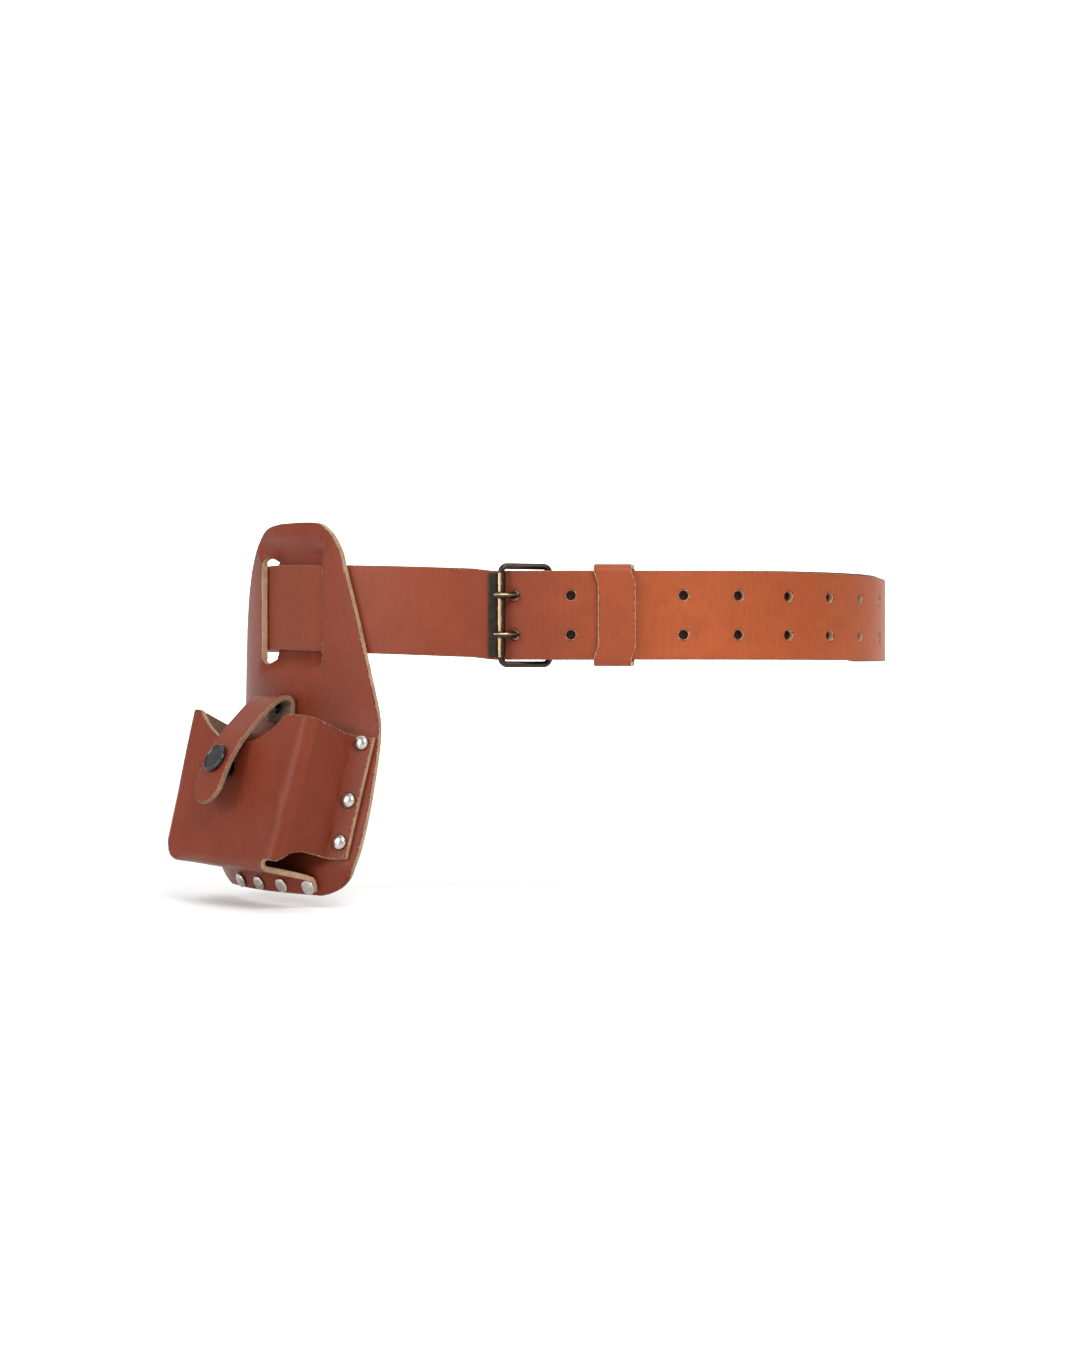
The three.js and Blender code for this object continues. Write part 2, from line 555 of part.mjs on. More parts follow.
function pouchLine() {
  const { middle, half, corner, creaseS, flangeS } = POUCH;
  const line = new THREE.Path();
  const wallPoint = (x) => new THREE.Vector2(x, wallDepth(x));
  const corners = [-1, 1].map((side) => wallPoint(middle + side * half));
  const crease = (side, s) => onArc(side * s, FLANGE_OFF);
  line.moveTo(...crease(-1, flangeS).toArray());
  line.lineTo(...crease(-1, creaseS + 3).toArray());
  const round = (side, into) => {
    const at = corners[(side + 1) / 2];
    const low = new THREE.Vector2(crease(side, creaseS).x, crease(side, creaseS).y + 3.5);
    const down = low.clone().sub(at).normalize();
    const foot = [crease(side, creaseS), low];
    const bend = [at.clone().addScaledVector(down, corner), at, wallPoint(at.x - side * corner)];
    if (into) {
      line.quadraticCurveTo(...foot[0].toArray(), ...foot[1].toArray());
      line.lineTo(...bend[0].toArray());
      line.quadraticCurveTo(...bend[1].toArray(), ...bend[2].toArray());
    } else {
      line.lineTo(...bend[2].toArray());
      line.quadraticCurveTo(...bend[1].toArray(), ...bend[0].toArray());
      line.lineTo(...foot[1].toArray());
      line.quadraticCurveTo(...foot[0].toArray(), ...crease(side, creaseS + 3).toArray());
    }
  };
  round(-1, true);
  round(1, false);
  line.lineTo(...crease(1, flangeS).toArray());
  return line.getPoints(5);
}

function pouchShell() {
  const { sideTop, wallTop, middle, half, depth, corner } = POUCH;
  const walls = bent(
    new THREE.ExtrudeGeometry(thickened(pouchLine(), POUCH_THICK), { depth: 1, bevelEnabled: false }),
    (x, y, z) => pouchAt(x, y, z < 0.5
      ? through(SIDE_LOW, y)
      : lerp(sideTop, wallTop, clamp(y / 25, 0, 1))),
  );
  const inset = half - corner;
  const wing = bent(new THREE.BoxGeometry(2, 2, POUCH_THICK, 6, 2, 1), (x, y, z) => {
    const across = middle + x * inset;
    const back = onArc(across, FLANGE_OFF).y;
    const front = wallDepth(across) + POUCH_THICK / 2 - 0.02;
    return pouchAt(across, lerp(back - POUCH_THICK / 2, front, (y + 1) / 2), POUCH_THICK / 2 + z);
  });
  const tabTop = plateW(POUCH_THICK);
  const tab = bent(new THREE.BoxGeometry(2, 4, POUCH_THICK, 6, 4, 1), (x, y, z) => {
    const w = lerp(tabTop, tabTop + TAB.length, (2 - y) / 4);
    return plateAt(TAB.middle + x * TAB.half, w, FLANGE_OFF + z).point;
  });
  const notchR = (NOTCH.half ** 2 + NOTCH.deep ** 2) / (2 * NOTCH.deep);
  const notch = bent(new THREE.CylinderGeometry(notchR, notchR, depth + 10, 32), (x, y, z) => (
    POUCH_BASE.clone().addScaledVector(PLATE_SIDE, NOTCH.middle + x)
      .addScaledVector(POUCH_OUT, depth / 2 + 14 + y)
      .addScaledVector(POUCH_UP, wallTop - NOTCH.deep + notchR + z)
  ));
  const holes = [...sideRivets(), ...tabRivets()].map(({ s, w }) => {
    const { point, out } = plateAt(s, w, FLANGE_OFF);
    return drill(point, out, RIVET.post + CLEAR, 7);
  });
  const shell = joined([walls, wing, tab]);
  const studAt = wallSnap();
  return cut(shell, [notch, ...holes, drill(studAt.point, studAt.out, 1.6 + CLEAR, 12)]);
}

// Distance down the plate at height h up the pouch's baseline.
function plateW(h) {
  return POUCH.baseline - h - 1.5;
}

// ---- closing strap with its snap ----
function wallOutward() {
  const at = pouchAt(0, wallDepth(0), 60);
  const aside = pouchAt(20, wallDepth(20), 60);
  const above = pouchAt(0, wallDepth(0), 80);
  return aside.sub(at).cross(above.sub(at)).normalize();
}

// The stud's place on the front wall, behind the snap's cap.
function wallSnap() {
  const { point, out } = strapAt(strapLevel(SNAP.z), 0, 0);
  const wall = pouchAt(STRAP.middle, wallDepth(STRAP.middle), 60);
  const outward = wallOutward();
  const reach = wall.sub(point).dot(outward) / out.dot(outward);
  return { point: point.addScaledVector(out, reach), out: outward };
}

// The strap's run, in the upright plane through the plate's middle: [outwards, up]. It is riveted to
// the plate, loops forward over the mouth of the pouch and comes down past the front wall.
const strapLeave = [ROOT_W, ROOT_W - 7, STRAP_RIVET.w - 3.4].map((w) => {
  const { point } = plateAt(0, w, PLATE_THICK / 2 + STRAP.thick / 2 + CLEAR + 0.3);
  return [point.clone().sub(LEFT_CENTRE).dot(PLATE_OUT) - BEND_R, point.z];
});
const strapRoute = new THREE.CatmullRomCurve3([
  ...strapLeave, [9.9, -47.9], [12.5, -46.7], [16, -47], [21, -49.4], [31, -58], [43, -70], [51.5, -82],
  [57.5, -94.5], [62.5, -106],
].map(([x, y]) => new THREE.Vector3(x, y, 0)), false, 'centripetal');
const STRAP_SPLIT = 0.235;

function strapAt(t, across, off) {
  const p = strapRoute.getPointAt(clamp(t, 0, 1));
  const along = strapRoute.getTangentAt(clamp(t, 0, 1));
  const point = LEFT_CENTRE.clone().addScaledVector(PLATE_SIDE, STRAP.middle + across)
    .addScaledVector(PLATE_OUT, BEND_R + p.x - along.y * off);
  point.z = p.y + along.x * off;
  const out = PLATE_OUT.clone().multiplyScalar(-along.y).addScaledVector(UP, along.x);
  return { point, out };
}

function strapPiece(from, to, steps, rounded) {
  return bent(new THREE.BoxGeometry(steps, 2, STRAP.thick, steps, 2, 1), (x, y, z) => {
    const t = lerp(from, to, x / steps + 0.5);
    const left = (1 - t) * strapRoute.getLength();
    const half = STRAP.width / 2;
    const round = rounded && left < half ? Math.sqrt(Math.max(0.08, 1 - (1 - left / half) ** 2)) : 1;
    return strapAt(t, y * half * round, z).point;
  });
}

// Where along the strap, past its loop, it is level with a height.
function strapLevel(z) {
  let [low, high] = [STRAP_SPLIT, 1];
  while (high - low > 1e-4) {
    const middle = (low + high) / 2;
    if (strapRoute.getPointAt(middle).y > z) low = middle;
    else high = middle;
  }
  return low;
}

function lathe(points, sides = 20) {
  return new THREE.LatheGeometry(points.map(([r, y]) => new THREE.Vector2(r, y)), sides);
}

function snapPieces() {
  const strapHalf = STRAP.thick / 2 + CLEAR;
  const { cap, capThick, socket, cavity, socketThick, web, stud, nub, nubHigh, post, pin } = SNAP;
  const capShape = lathe([
    [0, -2 * strapHalf - web], [post, -2 * strapHalf - web], [post, 0], [cap - 0.6, 0], [cap, 0.7],
    [cap - 0.5, capThick - 0.3], [cap - 1.4, capThick], [cap - 2, capThick - 0.5], [0, capThick - 0.4],
  ]);
  const onStrap = snap.point.clone().addScaledVector(snap.out, strapHalf);
  add('snap_cap', standing(capShape, onStrap, snap.out), LOOK.blackEnamel);
  const under = snap.point.clone().addScaledVector(snap.out, -strapHalf);
  const bore = post + 0.15;
  const socketShape = lathe([
    [bore, 0], [socket, 0], [socket, socketThick], [cavity, socketThick], [cavity, web], [bore, web],
    [bore, 0],
  ]);
  add('snap_socket', standing(socketShape, under, snap.out.clone().negate()), LOOK.nickel);
  const wall = wallSnap();
  const wallHalf = POUCH_THICK / 2 + CLEAR;
  const pinBore = pin + 0.15;
  const studShape = lathe([
    [pinBore, 0], [stud, 0], [stud, web], [nub, web], [nub, web + nubHigh], [pinBore, web + nubHigh],
    [pinBore, 0],
  ]);
  const studSeat = wall.point.clone().addScaledVector(wall.out, wallHalf);
  add('snap_stud', standing(studShape, studSeat, wall.out), LOOK.nickel);
  const postShape = lathe([
    [0, 0], [stud, 0], [stud, web], [pin, web], [pin, web + 2 * wallHalf + 1.6],
    [0, web + 2 * wallHalf + 1.6],
  ]);
  const inside = wall.point.clone().addScaledVector(wall.out, -wallHalf - web);
  add('snap_post', standing(postShape, inside, wall.out), LOOK.nickel);
}

group.name = 'tool_belt';
add('belt_strap', beltStrap(), LOOK.beltLeather);
FOLD_RIVETS.forEach(({ x, z }, i) => {
  const point = new THREE.Vector3(x, INNER_Y + LAYER_PITCH + BELT_THICK / 2, z);
  const size = { ...RIVET, dome: 1.4 };
  rivet(`fold_rivet_${i + 1}`, point, BACKWARD, LAYER_PITCH + BELT_THICK - FLUSH, LOOK.nickel, size);
});
add('buckle_frame', buckleFrame(), LOOK.bronze);
add('buckle_roller', buckleRoller(), LOOK.bronze);
add('prong_upper', prong(PRONG_Z[0]), LOOK.bronze);
add('prong_lower', prong(PRONG_Z[1]), LOOK.bronze);
add('keeper_loop', keeperLoop(), LOOK.pouchLeather);

add('back_plate', backPlate(), LOOK.pouchLeather);
add('pouch_shell', pouchShell(), LOOK.pouchLeather);
const stack = PLATE_THICK + POUCH_THICK + CLEAR;
for (const { name, s, w } of [...sideRivets(), ...tabRivets()]) {
  const { point, out } = plateAt(s, w, FLANGE_OFF + POUCH_THICK / 2);
  rivet(name, point, out, stack);
}

const strapHole = plateAt(STRAP_RIVET.s, STRAP_RIVET.w);
add('strap_root', cut(strapPiece(0, STRAP_SPLIT - 0.002, 12, false), [
  drill(strapHole.point, strapHole.out, RIVET.post + CLEAR),
]), LOOK.pouchLeather);
const snap = strapAt(strapLevel(SNAP.z), 0, 0);
add('strap_flap', cut(strapPiece(STRAP_SPLIT + 0.002, 1, 26, true), [
  drill(snap.point, snap.out, SNAP.post + CLEAR),
]), LOOK.pouchLeather);
const STRAP_SEAT = 0.6; // the strap stands this far off the plate under its rivet's head
const strapSeat = plateAt(STRAP_RIVET.s, STRAP_RIVET.w, PLATE_THICK / 2 + STRAP.thick + CLEAR + STRAP_SEAT);
const strapStack = PLATE_THICK + STRAP.thick + CLEAR + STRAP_SEAT;
const strapHead = { ...RIVET, head: 3.2, dome: 1.8 };
rivet(STRAP_RIVET.name, strapSeat.point, strapSeat.out, strapStack, LOOK.bronze, strapHead);
snapPieces();

export default group;
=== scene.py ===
"""Looks of the leather tool belt: the belt with its buckle and keeper, and the tape pouch hung from it.

Each leather piece is a flat pattern, cut and thickened with bmesh operators and then bent to its place.
Lengths inside the geometry functions are millimetres, in the row's frame.
"""

import math

import bmesh
import bpy
from bpy.props import FloatProperty, FloatVectorProperty, IntProperty, PointerProperty
from mathutils import Matrix, Vector, noise
from mathutils.kdtree import KDTree


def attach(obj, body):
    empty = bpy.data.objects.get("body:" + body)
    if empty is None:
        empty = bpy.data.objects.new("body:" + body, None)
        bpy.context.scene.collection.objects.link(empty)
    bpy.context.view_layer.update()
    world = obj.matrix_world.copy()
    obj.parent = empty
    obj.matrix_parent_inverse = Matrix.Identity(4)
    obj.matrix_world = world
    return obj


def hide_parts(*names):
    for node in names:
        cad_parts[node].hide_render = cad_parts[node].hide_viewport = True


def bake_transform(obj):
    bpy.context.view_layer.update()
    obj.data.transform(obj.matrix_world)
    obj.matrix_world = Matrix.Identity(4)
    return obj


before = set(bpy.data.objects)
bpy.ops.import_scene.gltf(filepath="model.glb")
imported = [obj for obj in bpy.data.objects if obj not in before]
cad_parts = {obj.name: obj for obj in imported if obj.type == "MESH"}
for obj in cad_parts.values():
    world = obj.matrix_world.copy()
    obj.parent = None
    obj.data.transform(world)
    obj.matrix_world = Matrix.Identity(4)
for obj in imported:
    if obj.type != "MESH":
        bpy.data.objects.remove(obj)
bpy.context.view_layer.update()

bl_info = {
    "name": "Leather tool belt",
    "version": (1, 0, 0),
    "blender": (4, 5, 0),
    "location": "View3D > Sidebar > Tool Belt",
    "description": "Builds a work belt with its buckle, keeper and tape pouch",
    "category": "Object",
}

MM = 0.001
UP = Vector((0, 0, 1))

# ---- fixed shape of the loop and the pouch, as in the CAD part ----
CLEAR = 0.3
LAYER_PITCH = 4.4
FRONT_HALF = 54.7
BEND_R = 141.0
BEND_TURN = 82.0
BACK_TURN = 180 - BEND_TURN
BACK_R = 70.0
TIP_LENGTH = 64.0
FOLD_FLAT, FOLD_BEND, FOLD_TURN = 14.0, 8.0, 30.0
RAMP_R, RAMP_TURN, RAMP_END = 30.0, 15.0, -16.0
HOLE_ROWS, HOLE_PITCH, HOLE_PAIR = 9, 31.5, 22.0
BUCKLE_X, BAR_R = -12.0, 1.8
BUCKLE_LENGTH, BUCKLE_HALF = 28.7, 27.5
ROLLER_R, ROLLER_BORE, ROLLER_LIP, ROLLER_LENGTH = 2.8, 2.15, 7.2, 47.0
PRONG_R, PRONG_SWELL = 1.5, 1.22  # the wire's ends are hammered a little wider
BELT_THICK = 4.0
INNER_Y = -BEND_R + LAYER_PITCH
INNER_R = BEND_R - LAYER_PITCH
INNER_BACK_R = BACK_R - LAYER_PITCH
TURN_COS = math.cos(math.radians(BEND_TURN))
TURN_SIN = math.sin(math.radians(BEND_TURN))
BACK_Y = INNER_BACK_R - (INNER_R - INNER_BACK_R) * TURN_COS
LEFT_CENTRE = Vector((-FRONT_HALF, INNER_Y + BEND_R, 0))
LEFT_BACK_R = (BACK_Y - LEFT_CENTRE.y + BEND_R * TURN_COS) / (1 + TURN_COS)
BAR_WRAP = BAR_R + 0.5 + BELT_THICK / 2
BAR_Y = INNER_Y + BAR_WRAP
FRONT_BAR_Y = INNER_Y - BELT_THICK / 2 - CLEAR - ROLLER_R
BUCKLE_TILT = math.asin((BAR_Y - FRONT_BAR_Y) / BUCKLE_LENGTH)
FRONT_BAR_X = BUCKLE_X - BUCKLE_LENGTH * math.cos(BUCKLE_TILT)

PLATE_YAW, PLATE_TOP, PLATE_R = 48.3, 54.9, BEND_R + 4.5
PLATE_LEGS = [(104, 0), (22, 13.8), (70, 0), (7, -33.8), (12.5, 0)]
PLATE_NEAR = [(0, 22), (1.5, 28), (4, 32.5), (8.5, 37.5), (17.5, 43.2), (27, 46), (54, 54), (74, 59.2),
              (101, 66), (119, 70), (140, 72), (180, 72.5), (195, 71), (203, 68), (209, 62), (213, 54),
              (215.5, 45)]
PLATE_FAR = [(0, 14), (1.5, 21), (4, 27.5), (8.5, 34.5), (17.5, 43.5), (27, 50), (40, 56.5), (54, 60.5),
             (74, 64), (101, 68), (119, 70.5), (140, 72), (180, 72.5), (195, 71), (203, 68), (209, 62),
             (213, 54), (215.5, 45)]
SLOT_S, SLOT_WIDTH, SLOT_MID, SLOT_LENGTH = 28.0, 4.4, 4.4, 62.5
BELT_AT_PLATE = 6.4
LEAN = math.radians(PLATE_LEGS[1][1])
PLATE_OUT = Vector((-math.sin(math.radians(PLATE_YAW)), -math.cos(math.radians(PLATE_YAW)), 0))
PLATE_SIDE = Vector((math.cos(math.radians(PLATE_YAW)), -math.sin(math.radians(PLATE_YAW)), 0))
POUCH_UP = PLATE_OUT * -math.sin(LEAN) + UP * math.cos(LEAN)
POUCH_OUT = PLATE_OUT * math.cos(LEAN) + UP * math.sin(LEAN)
BASELINE, WALL_TOP, SIDE_TOP = 205.0, 88.0, 84.0
MIDDLE, HALF, DEPTH, SKEW, CORNER = 4.0, 53.0, 30.5, 0.087, 8.0
TAPER, FLANGE_TAPER, CREASE_S, FLANGE_S = 9.0, 2.5, 56.5, 69.0
SIDE_LOW = [(-14, 15), (-7.5, 13), (2, 13.5), (10, 14), (17, 12), (23, 6), (26, 5.6)]
TAB_MIDDLE, TAB_HALF = 12.0, 36.0
NOTCH_MIDDLE, NOTCH_HALF, NOTCH_DEEP = -2.0, 38.0, 18.0
SIDE_RIVETS = [(62.5, 128), (61.5, 161), (61, 184.8)]
TAB_RIVET_PITCH, TAB_RIVET_W = 19.5, 208.4
STRAP_MIDDLE, STRAP_RIVET_W, STRAP_SPLIT = -2.5, 108.0, 0.235
SNAP_Z = -82.0
FOLD_START = 5.6  # height where the pouch's front wall starts to fold under


# ---- settings a user would change ----
class BeltSettings(bpy.types.PropertyGroup):
    """Sizes and colours of the belt strap and its keeper"""
    width: FloatProperty(name="Width", description="Width of the belt strap", default=0.05, unit="LENGTH")
    hole: FloatProperty(name="Hole radius", description="Radius of the punched holes", default=0.00275,
                        unit="LENGTH", precision=5)
    keeper: FloatProperty(name="Keeper width", description="Width of the keeper band", default=0.021,
                          unit="LENGTH")
    color: FloatVectorProperty(name="Leather", description="Colour of the belt's grain side", subtype="COLOR",
                               default=(0.178, 0.034, 0.0128))
    tail_color: FloatVectorProperty(name="Tail leather",
                                    description="Colour of the grain side towards the tip", subtype="COLOR",
                                    default=(0.315, 0.066, 0.0175))
    keeper_color: FloatVectorProperty(name="Keeper leather", description="Colour of the keeper's grain side",
                                      subtype="COLOR", default=(0.25, 0.048, 0.0135))


class PouchSettings(bpy.types.PropertyGroup):
    """Sizes and colours of the back plate, the pouch and its strap"""
    plate: FloatProperty(name="Plate thickness", description="Thickness of the back plate", default=0.004,
                         unit="LENGTH", precision=4)
    wall: FloatProperty(name="Wall thickness", description="Thickness of the pouch's walls", default=0.0032,
                        unit="LENGTH", precision=4)
    strap: FloatProperty(name="Strap width", description="Width of the closing strap", default=0.025,
                         unit="LENGTH")
    color: FloatVectorProperty(name="Leather", description="Colour of the pouch's grain side",
                               subtype="COLOR", default=(0.15, 0.0245, 0.0088))
    edge: FloatVectorProperty(name="Cut edge", description="Colour of the raw cut edges", subtype="COLOR",
                              default=(0.4, 0.25, 0.15))


class MetalSettings(bpy.types.PropertyGroup):
    """Sizes and colours of the rivets, the snap and the buckle"""
    head: FloatProperty(name="Rivet head", description="Radius of a rivet's head", default=0.0044,
                        unit="LENGTH", precision=4)
    dome: FloatProperty(name="Rivet dome", description="Height of a rivet's head", default=0.0021,
                        unit="LENGTH", precision=4)
    cap: FloatProperty(name="Snap cap", description="Radius of the snap's cap", default=0.0086,
                       unit="LENGTH", precision=4)
    nickel: FloatVectorProperty(name="Nickel", description="Colour of the rivets", subtype="COLOR",
                                default=(0.52, 0.5, 0.46))
    bronze: FloatVectorProperty(name="Bronze", description="Colour of the buckle", subtype="COLOR",
                                default=(0.05, 0.04, 0.032))
    # the brass colour also paints the highlight lines on the roller and the prongs, partly rubbed metal and
    # partly painted highlight
    brass: FloatVectorProperty(name="Brass", description="Colour of the brass where the buckle is rubbed",
                               subtype="COLOR", default=(0.5, 0.33, 0.19))
    sides: IntProperty(name="Turns", description="Steps round each turned piece", default=40, min=12)


class StageSettings(bpy.types.PropertyGroup):
    """Camera and light"""
    lens: FloatProperty(name="Lens", description="Focal length on a 36 mm sensor", default=54.9, min=10)
    key: FloatProperty(name="Key light", description="Power of the main soft light", default=24, unit="POWER")


def settings():
    return bpy.context.scene


# ---- small maths ----
def clamp(x, low=0.0, high=1.0):
    return max(low, min(high, x))


def lerp(a, b, t):
    return a + (b - a) * t


def smooth(x):
    x = clamp(x)
    return x * x * (3 - 2 * x)


def through(table, value):
    for (x0, y0), (x1, y1) in zip(table, table[1:]):
        if value < x1:
            return lerp(y0, y1, clamp((value - x0) / (x1 - x0)))
    return table[-1][1]


def walk(x, y, heading, legs):
    """A path of straight and curved legs: returns a function from distance to (x, y, heading)."""
    starts = []
    at = (x, y, math.radians(heading))
    done = 0.0

    def step(state, go, length, turn):
        bend = math.radians(turn) * go / length
        chord = go if abs(bend) < 1e-9 else 2 * go * math.sin(bend / 2) / bend
        along = state[2] + bend / 2
        return (state[0] + chord * math.cos(along), state[1] + chord * math.sin(along), state[2] + bend)

    for length, turn in legs:
        starts.append((done, at, length, turn))
        at = step(at, length, length, turn)
        done += length

    def place(distance):
        leg = starts[0]
        for candidate in starts:
            if distance >= candidate[0]:
                leg = candidate
        return step(leg[1], distance - leg[0], leg[2], leg[3])

    return place


def fan(radius, turn):
    return (radius * math.radians(abs(turn)), turn)


def rounded(u0, v0, u1, v1, radius, steps=6):
    """Outline of a rectangle with round corners, anticlockwise."""
    corners = [(u1 - radius, v1 - radius, 0), (u0 + radius, v1 - radius, 90), (u0 + radius, v0 + radius, 180),
               (u1 - radius, v0 + radius, 270)]
    return [(cu + radius * math.cos(math.radians(start + 90 * i / steps)),
             cv + radius * math.sin(math.radians(start + 90 * i / steps)))
            for cu, cv, start in corners for i in range(steps + 1)]


def round_hole(u, v, radius, steps=24):
    return [(u + radius * math.cos(2 * math.pi * i / steps), v + radius * math.sin(2 * math.pi * i / steps))
            for i in range(steps)]


def finely(outline, step):
    """Adds points along an outline's long sides."""
    fine = []
    for (u0, v0), (u1, v1) in zip(outline, outline[1:] + outline[:1]):
        parts = max(1, math.ceil(math.hypot(u1 - u0, v1 - v0) / step))
        fine += [(lerp(u0, u1, i / parts), lerp(v0, v1, i / parts)) for i in range(parts)]
    return fine


# ---- node helpers ----
class Nodes:
    """Places and links shader nodes."""

    def __init__(self, tree):
        self.tree = tree

    def add(self, kind, values=None, **settings_):
        node = self.tree.nodes.new(kind)
        for key, value in settings_.items():
            setattr(node, key, value)
        for key, value in (values or {}).items():
            self.put(node.inputs[key], value)
        return node

    def put(self, socket, value):
        if isinstance(value, bpy.types.NodeSocket):
            self.tree.links.new(value, socket)
        else:
            socket.default_value = value

    def math(self, operation, a, b=0.0, c=0.0, bounded=False):
        node = self.add("ShaderNodeMath", operation=operation, use_clamp=bounded)
        for socket, value in zip(node.inputs, (a, b, c)):
            self.put(socket, value)
        return node.outputs[0]

    def mix(self, share, a, b, kind="MIX"):
        node = self.add("ShaderNodeMix", data_type="RGBA", blend_type=kind)
        for socket, value in ((node.inputs[0], share), (node.inputs[6], a), (node.inputs[7], b)):
            self.put(socket, value)
        return node.outputs[2]

    def remap(self, value, a, b, low=0.0, high=1.0):
        node = self.add("ShaderNodeMapRange", {"Value": value, "From Min": a, "From Max": b, "To Min": low,
                                               "To Max": high}, interpolation_type="SMOOTHSTEP")
        return node.outputs[0]

    def noise(self, vector, scale, detail=3.0, rough=0.55):
        return self.add("ShaderNodeTexNoise", {"Vector": vector, "Scale": scale, "Detail": detail,
                                               "Roughness": rough}).outputs["Fac"]


def rgba(color, k=1.0):
    return (min(1, color[0] * k), min(1, color[1] * k), min(1, color[2] * k), 1)


def node_group(name, inputs, outputs, fill):
    """A shared effect: inputs and outputs are (name, socket kind, default)."""
    if name in bpy.data.node_groups:
        return bpy.data.node_groups[name]
    group = bpy.data.node_groups.new(name, "ShaderNodeTree")
    for label, kind, default in inputs:
        socket = group.interface.new_socket(label, in_out="INPUT", socket_type=kind)
        if default is not None:
            socket.default_value = default
    for label, kind in outputs:
        group.interface.new_socket(label, in_out="OUTPUT", socket_type=kind)
    n = Nodes(group)
    enter = group.nodes.new("NodeGroupInput")
    leave = group.nodes.new("NodeGroupOutput")
    for label, value in fill(n, enter.outputs).items():
        n.put(leave.inputs[label], value)
    return group


FLOAT, VECTOR, COLOR = "NodeSocketFloat", "NodeSocketVector", "NodeSocketColor"


def grain_group():
    """Pores and fine creases of full grain leather."""
    def fill(n, given):
        at = given["Vector"]
        warp = n.noise(at, 90, 2)
        shifted = n.add("ShaderNodeVectorMath", {0: at, 1: n.add("ShaderNodeCombineXYZ", {
            "X": n.math("MULTIPLY", warp, 0.004)}).outputs[0]}, operation="ADD").outputs[0]
        pores = n.add("ShaderNodeTexVoronoi", {"Vector": shifted, "Scale": given["Scale"], "Randomness": 1.0},
                      feature="DISTANCE_TO_EDGE").outputs["Distance"]
        valley = n.remap(pores, 0.0, 0.12)
        fine = n.noise(at, 1900, 4, 0.65)
        upright = n.add("ShaderNodeMapping", {"Vector": at, "Scale": (1.8, 0.4, 1)}).outputs[0]
        creases = n.remap(n.noise(upright, 260, 5, 0.6), 0.42, 0.6)
        height = n.math("ADD", n.math("MULTIPLY", valley, 0.3),
                        n.math("ADD", n.math("MULTIPLY", fine, 0.45), n.math("MULTIPLY", creases, 0.4)))
        pits = n.remap(n.noise(at, 2600, 1), 0.68, 0.76)
        return {"Height": n.math("SUBTRACT", height, n.math("MULTIPLY", pits, 0.35)), "Pits": pits,
                "Creases": creases}
    return node_group("leather grain", [("Vector", VECTOR, None), ("Scale", FLOAT, 700.0)],
                      [("Height", FLOAT), ("Pits", FLOAT), ("Creases", FLOAT)], fill)


def cloud_group():
    """Broad and middling patches, where wax and dye lie unevenly."""
    def fill(n, given):
        broad = n.noise(given["Vector"], 9, 2, 0.5)
        patches = n.noise(given["Vector"], 60, 4, 0.6)
        specks = n.noise(given["Vector"], 700, 3, 0.7)
        mixed = n.math("ADD", n.math("MULTIPLY", broad, 0.5),
                       n.math("ADD", n.math("MULTIPLY", patches, 0.3), n.math("MULTIPLY", specks, 0.2)))
        return {"Tone": n.remap(mixed, 0.36, 0.64), "Specks": specks}
    return node_group("uneven dye", [("Vector", VECTOR, None)], [("Tone", FLOAT), ("Specks", FLOAT)], fill)


def rim_group():
    """A worn line near a piece's rim, broken up along its length."""
    def fill(n, given):
        ragged = n.noise(given["Vector"], 900, 3, 0.7)
        reach = n.math("MULTIPLY", given["Width"], n.math("ADD", n.math("MULTIPLY", ragged, 1.1), 0.45))
        near = n.math("DIVIDE", given["Distance"], n.math("MAXIMUM", reach, 0.01))
        return {"Line": n.remap(near, 0.55, 1.1, 1.0, 0.0),
                "Chips": n.math("MULTIPLY", n.remap(near, 0.3, 0.8, 1.0, 0.0), n.remap(ragged, 0.5, 0.62))}
    return node_group("worn rim", [("Vector", VECTOR, None), ("Distance", FLOAT, 1.0), ("Width", FLOAT, 1.0)],
                      [("Line", FLOAT), ("Chips", FLOAT)], fill)


def scratch_group():
    """Fine scratches and dull spots on plated metal."""
    def fill(n, given):
        long = n.add("ShaderNodeMapping", {"Vector": given["Vector"], "Scale": (1, 0.2, 1),
                                           "Rotation": (0.3, 0.5, 0.6)}).outputs[0]
        lines = n.remap(n.noise(long, 2400, 4, 0.7), 0.5, 0.72)
        spots = n.noise(given["Vector"], 420, 4, 0.6)
        return {"Scratches": lines, "Spots": spots}
    return node_group("metal wear", [("Vector", VECTOR, None)],
                      [("Scratches", FLOAT), ("Spots", FLOAT)], fill)


def started(name):
    material = bpy.data.materials.new(name)
    material.use_nodes = True
    n = Nodes(material.node_tree)
    shader = material.node_tree.nodes["Principled BSDF"]
    return material, n, shader


def use(n, group, values):
    node = n.add("ShaderNodeGroup")
    node.node_tree = group
    for key, value in values.items():
        n.put(node.inputs[key], value)
    return node.outputs


def painted_hole_shade(n, at):
    """Dark marks on the inner layer, one under each punched hole of the tail that lies over it."""
    u, v, _ = n.add("ShaderNodeSeparateXYZ", {"Vector": at}).outputs
    bend = n.math("MAXIMUM", n.math("SUBTRACT", u, LEG_START["right_bend"] * MM), 0.0)
    x = n.math("ADD", u, n.math("MULTIPLY", bend, BEND_R / INNER_R - 1))
    x = n.math("SUBTRACT", x, (LEG_START["inner_front"] - BUCKLE_X) * MM)
    x = n.math("PINGPONG", x, HOLE_PITCH / 2 * MM)
    y = n.math("SUBTRACT", n.math("ABSOLUTE", v), HOLE_PAIR / 2 * MM)
    away = n.math("SQRT", n.math("ADD", n.math("MULTIPLY", x, x), n.math("MULTIPLY", y, y)))
    inner = n.math("LESS_THAN", u, LEG_START["right_back"] * MM)
    return n.math("MULTIPLY", n.remap(away, 2.2 * MM, 3.6 * MM, 1.0, 0.0), inner)


